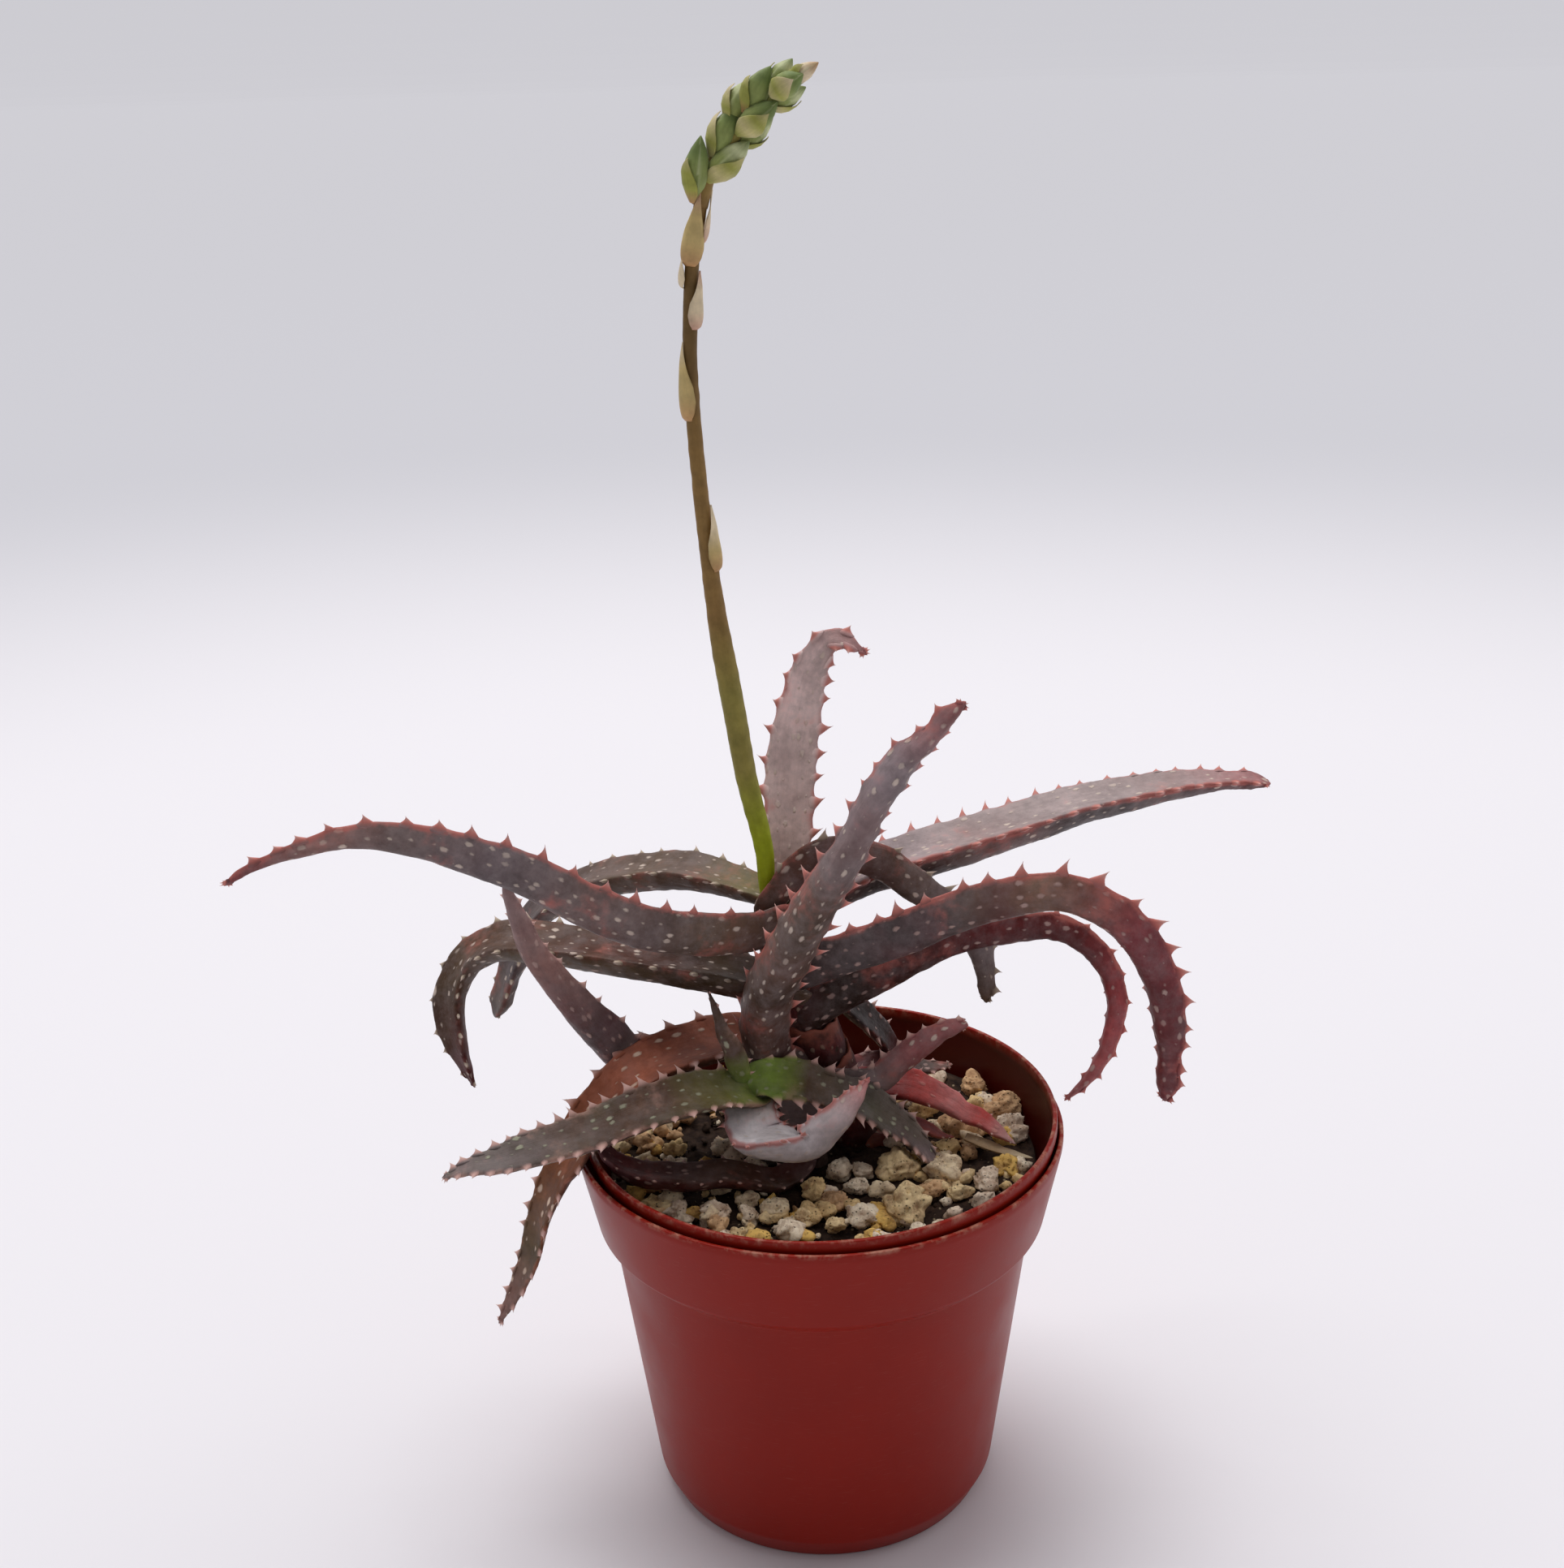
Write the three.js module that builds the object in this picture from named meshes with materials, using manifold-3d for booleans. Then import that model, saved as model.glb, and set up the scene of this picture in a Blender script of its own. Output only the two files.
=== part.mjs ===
// Potted aloe hybrid with a flower stalk and one offset, in two nested 9 cm nursery pots.
// Millimetres, +Z up. The origin is the centre of the outer pot's resting face, and the
// plant's front faces -Y.

import * as THREE from 'three';
import { mergeVertices } from 'three/addons/utils/BufferGeometryUtils.js';
import Module from 'manifold-3d';

const wasm = await Module();
wasm.setup();

// Driving dimensions
const RIM_RADIUS = 45;            // a round 9 cm nursery pot
const POT_HEIGHT = 73.4;
const POT_WALL = 0.9;
const FOOT_RADIUS = 30.2;
const INNER_RIM_RADIUS = 43.5;
const INNER_RIM_HEIGHT = 75.5;    // the inner pot stands about 2 mm proud
const INNER_POT_HEIGHT = 73.2;
const INNER_POT_SHIFT = 0.4;
const INNER_POT_TILT = new THREE.Euler(0.011, -0.018, 0);
const DRAIN_RADIUS = 3;
const DRAIN_CIRCLE = 17;
const SOIL_TOP = 65;
const MOUND_TOP = 66.6;           // bare mix round the stems
const MOUND_RADIUS = 15;
const BED_BOTTOM = 65.4;          // pumice lies on the mix
const BED_TOP = 66.5;
const GAP = 0.35;                 // clearance between pieces that touch
const TURNS = 32;                 // sides of a pot

const UP = new THREE.Vector3(0, 0, 1);

// Solids and booleans

// A closed list of points and triangles as a solid, turned outwards if it is inside out.
function solidOf(points, triangles) {
  const vertProperties = new Float32Array(points.flat());
  const triVerts = new Uint32Array(triangles.flat());
  let volume = 0;
  for (const [a, b, c] of triangles) {
    const [p, q, r] = [a, b, c].map((i) => new THREE.Vector3(...points[i]));
    volume += p.dot(q.cross(r));
  }
  if (volume < 0) {
    triVerts.reverse();
  }
  return new wasm.Manifold(new wasm.Mesh({ numProp: 3, vertProperties, triVerts }));
}

// A three.js geometry as a solid: shared vertices merged, flat triangles dropped.
function solidFrom(geometry) {
  const plain = geometry.clone();
  plain.deleteAttribute('normal');
  plain.deleteAttribute('uv');
  const merged = mergeVertices(plain, 1e-4);
  const place = merged.attributes.position;
  const points = [];
  for (let i = 0; i < place.count; i += 1) {
    points.push([place.getX(i), place.getY(i), place.getZ(i)]);
  }
  const triangles = [];
  for (let i = 0; i < merged.index.count; i += 3) {
    const corners = [0, 1, 2].map((k) => merged.index.getX(i + k));
    if (new Set(corners).size === 3) {
      triangles.push(corners);
    }
  }
  return solidOf(points, triangles);
}

// The largest body of a solid: loose scraps left by a cut are dropped.
function largestBody(solid) {
  const bodies = solid.decompose();
  return bodies.reduce((best, body) => (body.volume() > best.volume() ? body : best));
}

function boxesMeet(a, b) {
  const [p, q] = [a.boundingBox(), b.boundingBox()];
  return [0, 1, 2].every((k) => p.min[k] < q.max[k] && q.min[k] < p.max[k]);
}

function cutBy(solid, cutters) {
  const near = cutters.filter((cutter) => boxesMeet(solid, cutter));
  return near.reduce((rest, cutter) => rest.subtract(cutter), solid);
}

function joined(solids) {
  return solids.reduce((sum, solid) => sum.add(solid));
}

function meshOf(name, solid, material) {
  const data = solid.getMesh();
  const geometry = new THREE.BufferGeometry();
  geometry.setAttribute('position', new THREE.BufferAttribute(data.vertProperties, 3));
  geometry.setIndex(new THREE.BufferAttribute(data.triVerts, 1));
  geometry.computeVertexNormals();
  const mesh = new THREE.Mesh(geometry, material);
  mesh.name = name;
  return mesh;
}

// A repeatable number from 0 to 1 for draw k of one seed.
function draw(k, seed) {
  const wave = Math.sin(k * 12.9898 + seed * 78.233) * 43758.5453;
  return wave - Math.floor(wave);
}

// Curves

function routeOf(points) {
  const corners = points.map((p) => new THREE.Vector3(...p));
  return new THREE.CatmullRomCurve3(corners, false, 'catmullrom', 0.5);
}

// A list of values spread evenly from 0 to 1, read at u with a smooth cubic.
function valueAt(list, u) {
  const place = Math.min(Math.max(u, 0), 1) * (list.length - 1);
  const i = Math.min(Math.floor(place), list.length - 2);
  const f = place - i;
  const [b, c] = [list[i], list[i + 1]];
  const a = i > 0 ? list[i - 1] : 2 * b - c;
  const d = i + 2 < list.length ? list[i + 2] : 2 * c - b;
  const cubic = 2 * b + (c - a) * f + (2 * a - 5 * b + 4 * c - d) * f * f
    + (3 * b - a - 3 * c + d) * f * f * f;
  return cubic / 2;
}

// Leaves

const UNDER = [-1, -0.62, 0, 0.62, 1];   // across the underside, margin to margin
const OVER = [0.56, 0, -0.56];           // back across the upper face

// The place, direction, side and upper-face direction at u along a leaf.
function frameAt(leaf, u) {
  const centre = leaf.curve.getPointAt(u);
  const along = leaf.curve.getTangentAt(u);
  const face = new THREE.Vector3(...[0, 1, 2].map((k) => valueAt(leaf.face.map((f) => f[k]), u)));
  const up = face.addScaledVector(along, -face.dot(along)).normalize();
  const side = new THREE.Vector3().crossVectors(along, up);
  return { centre, along, up, side };
}

// Half width, thickness and fold of a leaf at u.
function sizesAt(leaf, u) {
  const width = valueAt(leaf.width, u);
  return { half: 0.5 * width, thick: leaf.plump * width + 0.35, fold: valueAt(leaf.fold, u) };
}

// A point of the leaf's skin. across runs from -1 to 1, and face is -1 under, 1 above.
function skinPoint(leaf, u, across, face, grow) {
  const { centre, side, up } = frameAt(leaf, u);
  const { half, thick, fold } = sizesAt(leaf, u);
  const channel = fold * half * (across * across - 0.45);
  const belly = (0.5 * thick * Math.pow(1 - across * across, 0.7) + 0.16);
  const lift = channel + (face < 0 ? -1.2 * belly : 0.8 * belly) + face * grow;
  return centre.clone()
    .addScaledVector(side, across * (half + grow))
    .addScaledVector(up, Math.abs(across) === 1 ? channel : lift)
    .toArray();
}

function leafBody(leaf, grow = 0) {
  const points = [];
  const rings = leaf.rings;
  const around = UNDER.length + OVER.length;
  for (let i = 0; i < rings; i += 1) {
    const u = i / rings;
    UNDER.forEach((across) => points.push(skinPoint(leaf, u, across, -1, grow)));
    OVER.forEach((across) => points.push(skinPoint(leaf, u, across, 1, grow)));
  }
  const root = frameAt(leaf, 0);
  const end = frameAt(leaf, 1);
  const rootCap = points.push(root.centre.addScaledVector(root.along, -grow).toArray()) - 1;
  const tipCap = points.push(end.centre.addScaledVector(end.along, grow).toArray()) - 1;
  const triangles = [];
  for (let k = 0; k < around; k += 1) {
    const next = (k + 1) % around;
    triangles.push([rootCap, next, k]);
    for (let i = 0; i + 1 < rings; i += 1) {
      const [a, b] = [i * around, (i + 1) * around];
      triangles.push([a + k, a + next, b + next], [a + k, b + next, b + k]);
    }
    const last = (rings - 1) * around;
    triangles.push([last + k, last + next, tipCap]);
  }
  return solidOf(points, triangles);
}

// A three-sided spine, its root sunk into the margin that it grows from.
function spine(root, outward, along, up, length, base) {
  const foot = root.clone().addScaledVector(outward, -0.7);
  const tip = root.clone().addScaledVector(outward, length).addScaledVector(along, 0.25 * length);
  const corners = [
    foot.clone().addScaledVector(along, base / 2).addScaledVector(up, 0.25),
    foot.clone().addScaledVector(along, -base / 2).addScaledVector(up, 0.25),
    foot.clone().addScaledVector(up, -0.75),
    tip,
  ];
  return solidOf(corners.map((p) => p.toArray()), [[0, 1, 2], [0, 3, 1], [1, 3, 2], [2, 3, 0]]);
}

// Spines along both margins, longest in the middle of the leaf.
function leafSpines(leaf) {
  const count = Math.floor((leaf.curve.getLength() * (0.96 - leaf.bare)) / leaf.pitch);
  const spines = [];
  for (let i = 0; i < count; i += 1) {
    for (const hand of [-1, 1]) {
      const stagger = hand > 0 ? 0.5 : 0;
      const u = leaf.bare + ((i + stagger) / count) * (0.97 - leaf.bare);
      const { centre, along, side, up } = frameAt(leaf, u);
      const { half, fold } = sizesAt(leaf, u);
      const root = centre.clone().addScaledVector(side, hand * half)
        .addScaledVector(up, 0.55 * fold * half);
      const outward = side.clone().multiplyScalar(hand).addScaledVector(up, 1.1 * fold).normalize();
      const length = leaf.spine * (0.6 + 0.4 * Math.sin(Math.PI * Math.min(1, 1.25 * u)));
      spines.push(spine(root, outward, along, up, length, 0.8 * leaf.spine));
    }
  }
  return spines;
}

// Materials

function skin(color, roughness = 0.55) {
  return new THREE.MeshStandardMaterial({ color, roughness, metalness: 0 });
}

const terracotta = skin('#8c2a22', 0.42);
const peat = skin('#2b1d18', 0.95);
const pumice = skin('#c9bc98', 0.9);
const greyPurple = skin('#5f5258', 0.5);
const brownGreen = skin('#57483c', 0.5);
const darkRed = skin('#5e2b2d', 0.5);
const rust = skin('#6d3a22', 0.5);
const freshGreen = skin('#5b6f3a', 0.5);
const brightRed = skin('#9c3636', 0.5);
const stalkGreen = skin('#6a6236', 0.5);
const budGreen = skin('#6f8a55', 0.55);
const straw = skin('#a08a6a', 0.8);

// Leaf routes, root to tip, with the full width at even steps, the fold of the channel and
// the way the upper face looks at even steps from root to tip.
const MAIN = { plump: 0.45, rings: 11, spine: 2.3, pitch: 6.8, bare: 0.1, fold: [0.55, 0.5, 0.4] };
const PUP = { plump: 0.42, rings: 8, spine: 1.5, pitch: 4.9, bare: 0.12, fold: [0.5, 0.4] };

const LEAVES = [
  {
    ...MAIN, name: 'leaf_front_upright', colour: greyPurple, rings: 13, bare: 0.16,
    route: [[-1, 5.5, 79.5], [-6, 2, 84], [-9.5, -2, 89.5], [-9, -7, 101.5], [-6, -12, 110.5],
      [-2.5, -16, 119], [1, -19, 126.5], [4.5, -22, 133.5], [7.5, -23, 139.5], [9.5, -24, 144.5],
      [12.5, -26, 150], [15, -27, 154], [17.5, -28, 156.5], [19.5, -28, 158.5], [21.5, -28, 161],
      [24.5, -28, 163.5]],
    width: [9.6, 9.1, 8.8, 8.2, 7.1, 5.4, 5.3, 1.2],
    face: [[0.1, 0.8, 0.4], [0.3, 0.9, 0.3], [0.1, 0.9, 0.5]],
  },
  {
    ...MAIN, name: 'leaf_left_long', colour: greyPurple, rings: 12,
    route: [[-3.5, 3, 111.5], [-7, 1.5, 114], [-12.5, -2.5, 114], [-21.5, -7.5, 116],
      [-30.5, -12, 119.5], [-39.5, -15, 125], [-48, -18, 131.5], [-56.5, -21, 136.5], [-65, -23, 140],
      [-74, -24, 141.5], [-83, -25, 140], [-92.5, -25, 136.5], [-97, -25, 133.5]],
    width: [9, 10.8, 10.2, 9.4, 8.4, 6.4, 3.1, 0.5],
    face: [[0.1, 0.55, 0.8], [0.1, 0.75, 0.65], [-0.2, 0.75, 0.65]],
  },
  {
    ...MAIN, name: 'leaf_right_drooping', colour: darkRed, rings: 13,
    route: [[-6.5, 1.5, 103], [-2.5, -2, 105.5], [4, -5, 109.5], [14.5, -9, 115], [25.5, -12, 121],
      [36.5, -15, 125], [43.5, -17, 125.5], [51, -18, 121.5], [56, -18, 115], [59.5, -17, 106.5],
      [61, -16, 95.5], [61, -15, 84.5]],
    width: [8.6, 9.1, 9.2, 8.8, 7.8, 6.8, 5.6, 0.8],
    face: [[0, 0.7, 0.7], [0, 0.75, 0.65], [0.75, 0.65, 0]],
  },
  {
    ...MAIN, name: 'leaf_right_red_thin', colour: darkRed, rings: 13, spine: 1.6,
    route: [[-3.5, 5, 91.5], [-0.5, 4, 95], [5.5, 4, 99], [11.5, 4, 102], [18, 5, 105], [26, 7, 107.5],
      [37.5, 9, 108], [44, 10, 107.5], [50, 10, 104], [54, 9, 98.5], [55.5, 8, 92], [54, 6, 85],
      [50.5, 4, 79.5], [45.5, 2, 75.5]],
    width: [8.8, 9.8, 8.7, 7.5, 6.2, 4.5, 3.2, 0.8],
    face: [[0, 0.6, 0.8], [0.1, 0.7, 0.7], [0.7, 0.7, 0.1]],
  },
  {
    ...MAIN, name: 'leaf_left_drooping', colour: brownGreen, rings: 13,
    route: [[-2.5, 4, 98.5], [-6, 3, 100.5], [-12, 2, 102], [-17.5, 2, 103.5], [-27.5, 2, 105.5],
      [-37.5, 3, 107], [-47.5, 6, 107.5], [-55.5, 8, 107.5], [-59.5, 9, 106.5], [-63.5, 10, 104],
      [-66, 10, 101], [-68, 9, 96.5], [-68, 7, 91.5], [-66.5, 5, 86], [-64, 4, 79.5]],
    width: [8.9, 10.3, 10, 9.6, 9.5, 7.9, 6.5, 1.1],
    face: [[0, -0.1, 1], [0, -0.15, 1], [-0.8, -0.5, 0.3]],
  },
  {
    ...MAIN, name: 'leaf_right_long', colour: greyPurple, rings: 10,
    route: [[-7, 4, 112.5], [-5.5, 5, 114], [2, 8, 115.5], [11, 12, 118.5], [22, 16, 120.5],
      [34, 20, 122.5], [50, 25, 125.5], [60.5, 28, 126.5], [71, 30, 127.5], [82, 31, 127.5],
      [87, 31, 126.5]],
    width: [6.2, 8.2, 10.4, 9.8, 9.1, 8, 5.9, 1.2],
    face: [[-0.2, -0.4, 0.9], [-0.1, -0.4, 0.9], [0, -0.4, 0.9]],
  },
  {
    ...MAIN, name: 'leaf_right_curled', colour: greyPurple, rings: 11,
    route: [[-8, 2.5, 114.5], [-8, 2, 117], [-5.5, 2.5, 120], [-3, 3, 123], [1, 3.5, 125.5],
      [6.5, 4, 125.5], [12, 4.5, 123], [18.5, 7, 117], [24.5, 10.5, 111], [29.5, 13, 104],
      [31.5, 14, 97], [32, 14, 90]],
    width: [5.2, 6.7, 8.2, 7.3, 6.7, 6.2, 5, 1.1],
    face: [[-0.6, 0.6, 0.6], [-0.1, 0.6, 0.8], [0.75, 0.65, 0]],
  },
  {
    ...MAIN, name: 'leaf_back_left_arched', colour: brownGreen,
    route: [[-7.5, 4, 113.5], [-7.5, 5, 116.5], [-16, 10, 118], [-24.5, 14, 118.5], [-33, 18, 116.5],
      [-41, 21, 114], [-47.5, 24, 110], [-53.5, 26, 105], [-56.5, 27, 99.5], [-59, 27, 94],
      [-63, 26, 83]],
    width: [5.7, 7.2, 9.2, 9.1, 8.5, 7.3, 6.6, 1.2],
    face: [[0, -0.2, 1], [0.1, -0.2, 1], [-0.8, -0.5, 0.4]],
  },
  {
    ...MAIN, name: 'leaf_back_upright', colour: greyPurple, rings: 9,
    route: [[-6.5, 6, 114], [-5.5, 8, 118.5], [-4.5, 13, 128], [-4, 17, 136], [-2.5, 20, 144.5],
      [-0.5, 22, 152.5], [2, 22, 157.5], [4.5, 22, 159.5], [7.5, 21, 159], [10.5, 20, 157]],
    width: [6.9, 7.8, 8.8, 8.9, 8.3, 6.9, 4.2, 0.6],
    face: [[0.1, -0.9, 0.4], [0.1, -0.9, 0.4], [0.3, -0.8, 0.5]],
    fold: [0.6, 0.55, 0.4],
  },
  {
    ...MAIN, name: 'leaf_left_rising', colour: darkRed, rings: 9, spine: 1.7,
    route: [[0, 7, 73], [-7, 5.5, 74.5], [-15.5, 4, 77], [-24, 3, 79], [-31, 1, 84], [-36, -1, 89.5],
      [-38.5, -3, 94], [-42.5, -5, 100], [-46.5, -6, 106.5], [-50, -6, 112], [-52, -6, 118],
      [-53.5, -6, 123.5], [-53.5, -6, 126]],
    width: [7.1, 7.6, 8.4, 9.2, 8.7, 6.6, 4.6, 1.2],
    face: [[0.3, 0.8, 0.3], [0.3, 0.9, 0.2]],
    fold: [0.5, 0.4],
  },
  {
    ...MAIN, name: 'leaf_over_rim', colour: rust, rings: 12, plump: 0.3,
    route: [[-1, 7, 85.5], [-8.5, 6, 86], [-15.5, 4, 88.5], [-22.5, -1, 89.5], [-29, -6, 89.5],
      [-34, -10, 88], [-39, -12, 83.5], [-42.5, -13.5, 79], [-45, -14.5, 74.5], [-47, -14.5, 71.5],
      [-50, -14, 65], [-52, -13, 58.5], [-53.5, -13, 53], [-56.5, -12, 46], [-60.5, -11, 38]],
    width: [9.2, 11, 10.8, 9.6, 8.2, 5.8, 4.4, 0.7],
    face: [[-0.1, -0.4, 0.95], [-0.2, -0.4, 0.9], [-0.7, -0.7, 0.1]],
    fold: [0.5, 0.45, 0.4],
  },
  {
    ...MAIN, name: 'leaf_low_back', colour: darkRed, rings: 6, spine: 1.6,
    route: [[-0.5, 7, 97], [3.5, 9, 95.5], [7.5, 11.5, 90.5], [11.5, 15, 84.5], [14.5, 18.5, 78.5],
      [17, 20.5, 73]],
    width: [6, 6.3, 5.9, 5.6, 5.1, 4.5, 3.2, 0.5],
    face: [[0.3, -0.5, 0.9], [0.6, -0.6, 0.5]],
    fold: [0.5, 0.4],
  },
  {
    ...PUP, name: 'leaf_low_right', colour: darkRed, rings: 6,
    route: [[2, 7, 76], [-3, 9, 76.5], [3.5, 11, 77], [8, 13.5, 77.5], [14.5, 15, 77.5], [20.5, 17, 75],
      [26, 18, 75]],
    width: [5.2, 5.1, 4.6, 4.8, 3.8, 0.9],
    face: [[0, -0.4, 0.95], [0, -0.4, 0.95]],
  },
  {
    ...PUP, name: 'leaf_low_red', colour: brightRed, rings: 7, plump: 0.25, spine: 0.9, pitch: 9,
    route: [[4.5, 7.5, 75.5], [9.5, 7, 77], [14, 6, 77.5], [17.5, 5, 77.5], [21, 4, 76.5],
      [24.5, 3, 75], [27, 1, 74], [30, 0, 73], [33, -2, 71.5], [36, -4, 70]],
    width: [6.6, 7, 8.9, 6.2, 4.6, 1.1],
    face: [[0.2, -0.5, 0.85], [0.3, -0.5, 0.8]],
    fold: [0.35, 0.3],
  },
  {
    ...PUP, name: 'leaf_low_small', colour: darkRed, rings: 5, spine: 0.8, pitch: 6,
    route: [[8.5, 5, 73.5], [12.5, 4, 73.5], [15.5, 3, 72], [19, 1, 71.5], [22.5, 0, 70], [25, -1, 70]],
    width: [3, 2.9, 3, 2.8, 2.4, 0.7],
    face: [[0.3, -0.3, 0.9], [0.3, -0.3, 0.9]],
    fold: [0.3, 0.3],
  },
  {
    ...PUP, name: 'pup_leaf_left', colour: freshGreen, rings: 10,
    route: [[-11, -7, 81.5], [-12, -9, 84], [-17, -12, 86.5], [-21.5, -15, 87.5], [-27, -18, 87.5],
      [-32.5, -20, 86.5], [-38, -22, 85], [-43.5, -24, 84], [-50.5, -26, 83], [-55, -27, 82],
      [-60, -28, 81.5], [-65, -28, 79.5]],
    width: [4.8, 8.4, 8.3, 7.6, 6, 0.5],
    face: [[-0.1, -0.5, 0.9], [-0.1, -0.45, 0.9]],
  },
  {
    ...PUP, name: 'pup_leaf_right', colour: freshGreen, rings: 9,
    route: [[-13.5, -8, 84.5], [-11, -8, 86.5], [-7, -8, 86.5], [-2.5, -7.5, 85.5], [2.5, -6.5, 83],
      [6, -5.5, 81.5], [9.5, -4.5, 79], [12.5, -4, 76], [15.5, -4, 73.5], [18, -5.5, 71.5], [21, -8, 68]],
    width: [4.4, 7.8, 6.2, 6.8, 5.5, 1.2],
    face: [[0.3, -0.7, 0.7], [0.3, -0.7, 0.7], [0.6, -0.4, 0.7]],
  },
  {
    ...PUP, name: 'pup_leaf_front_curled', colour: greyPurple, rings: 10, plump: 0.45,
    route: [[-12, -5.5, 79.5], [-12, -8, 81.5], [-12, -12, 80.5], [-11, -15, 79], [-7.5, -17.5, 79.5],
      [-4.5, -19, 79.5], [-1.5, -19, 80], [0.5, -19, 82], [3, -19, 84.5], [5, -18, 86.5],
      [7, -17, 88.5], [9, -16, 91]],
    width: [7.8, 9.5, 13.1, 8, 5.9, 1.2],
    face: [[0, -0.3, 1], [0, 0.35, 0.9], [0, 0.9, 0.4], [-0.4, 0.8, 0.5]],
    fold: [0.5, 0.45, 0.4, 0.4],
  },
  {
    ...PUP, name: 'pup_leaf_heart', colour: freshGreen, rings: 6, spine: 0.7, pitch: 6,
    route: [[-13.5, -5.5, 81], [-14, -6, 83], [-14, -7.5, 86.5], [-14.5, -9, 90.5], [-15, -9.5, 93.5],
      [-16.5, -10, 97], [-17.5, -10.5, 101], [-19, -10.5, 106]],
    width: [2.9, 3.3, 4.6, 3.5, 1.7, 0.5],
    face: [[0.5, 0.8, 0.1], [0.5, 0.8, 0.1]],
  },
  {
    ...PUP, name: 'pup_leaf_right_raised', colour: greyPurple, rings: 8,
    route: [[-10, -3, 81.5], [-5, -1.5, 81.5], [2, -1, 82], [8, -0.5, 81.5], [11.5, 0, 82],
      [14.5, 0, 85], [17.5, 0, 87.5], [20, 0, 89.5], [23, 0, 91.5], [26, 0, 92.5], [27.5, 0, 92.5]],
    width: [3.7, 5.1, 5.9, 5.9, 5.2, 1.2],
    face: [[-0.1, 0.8, 0.5], [-0.2, 0.9, 0.3]],
  },
  {
    ...PUP, name: 'pup_leaf_low_left', colour: darkRed, rings: 9, spine: 1.1,
    route: [[-5, -4, 73], [-4, -3, 71.5], [-3.5, -8, 69], [-7.5, -11, 67.5], [-12.5, -13, 69.5],
      [-17.5, -14, 71], [-22.5, -15, 71], [-28.5, -16, 72], [-33, -16, 73], [-37, -15, 75],
      [-40, -13, 78]],
    width: [5, 5.2, 6.3, 6.7, 6, 1.1],
    face: [[0.5, -0.1, 0.9], [0, -0.1, 1], [0, 0.1, 1]],
    fold: [0.5, 0.4, 0.4],
  },
  {
    ...PUP, name: 'pup_leaf_inner', colour: greyPurple, rings: 4, spine: 1.1,
    route: [[-11, -5, 78], [-6, -5, 78], [-0.5, -4, 76.5], [4.5, -3, 74]],
    width: [4.6, 5.3, 5.5, 5.5, 3.8, 1.2],
    face: [[0.2, -0.6, 0.7], [0.2, -0.6, 0.7]],
    fold: [0.4, 0.4],
  },
  {
    ...PUP, name: 'dried_leaf', colour: straw, rings: 5, plump: 0.2, pitch: 99,
    route: [[27, -1, 70], [32.5, -3.5, 68.8], [36, -4.8, 68.3], [39, -5.6, 68]],
    width: [1.8, 2.2, 1.6, 0.8],
    face: [[0, -0.3, 1], [0, -0.3, 1]],
  },
];

// Pots

function lathe(profile, turns = TURNS) {
  const points = profile.map(([r, z]) => new THREE.Vector2(r, z));
  return solidFrom(new THREE.LatheGeometry(points, turns).rotateX(Math.PI / 2));
}

function drainHoles(top) {
  const holes = [];
  for (let i = 0; i < 4; i += 1) {
    const angle = (i + 0.5) * (Math.PI / 2);
    const drill = new THREE.CylinderGeometry(DRAIN_RADIUS, DRAIN_RADIUS, 8, 10).rotateX(Math.PI / 2);
    drill.translate(DRAIN_CIRCLE * Math.cos(angle), DRAIN_CIRCLE * Math.sin(angle), top);
    holes.push(solidFrom(drill));
  }
  return holes;
}

function outerPot() {
  const rim = RIM_RADIUS;
  const top = POT_HEIGHT;
  const shell = lathe([
    [0, 0], [FOOT_RADIUS, 0], [32.4, 4.4], [39, 54.8], [41.7, 57.2],
    [rim - 0.1, top - 1.4], [rim - 0.1, top], [rim - 0.8, top],
    [rim - 1, top - 2], [41.7 - POT_WALL, 57.9], [39 - POT_WALL, 55.4],
    [32.4 - POT_WALL, 5], [FOOT_RADIUS - 0.8, 1.3], [0, 1.3],
  ]);
  return cutBy(shell, drainHoles(0));
}

// The inner pot is drawn with its rim's centre at the origin, then tilted and set in place.
const innerPlace = new THREE.Matrix4()
  .makeRotationFromEuler(INNER_POT_TILT)
  .setPosition(INNER_POT_SHIFT, 0, INNER_RIM_HEIGHT);

function innerLathe(profile) {
  const points = profile.map(([r, z]) => new THREE.Vector2(r, z));
  const geometry = new THREE.LatheGeometry(points, TURNS).rotateX(Math.PI / 2);
  return solidFrom(geometry.applyMatrix4(innerPlace));
}

function innerPot() {
  const rim = INNER_RIM_RADIUS;
  const foot = -INNER_POT_HEIGHT;
  const floor = foot + 1;
  const shell = innerLathe([
    [0, foot], [27.4, foot], [28.6, foot + 3.5], [35.7, -21.2], [38.5, -18.8], [39.4, -17],
    [rim - 0.1, -1.8], [rim - 0.2, 0], [rim - 1, 0], [rim - 1.2, -2.4], [38.6, -16.6],
    [37.7, -18], [34.9, -20.6], [27.8, foot + 4], [26.8, floor], [0, floor],
  ]);
  const holes = drainHoles(INNER_RIM_HEIGHT - INNER_POT_HEIGHT);
  return cutBy(shell, holes);
}

// Growing medium

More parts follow.
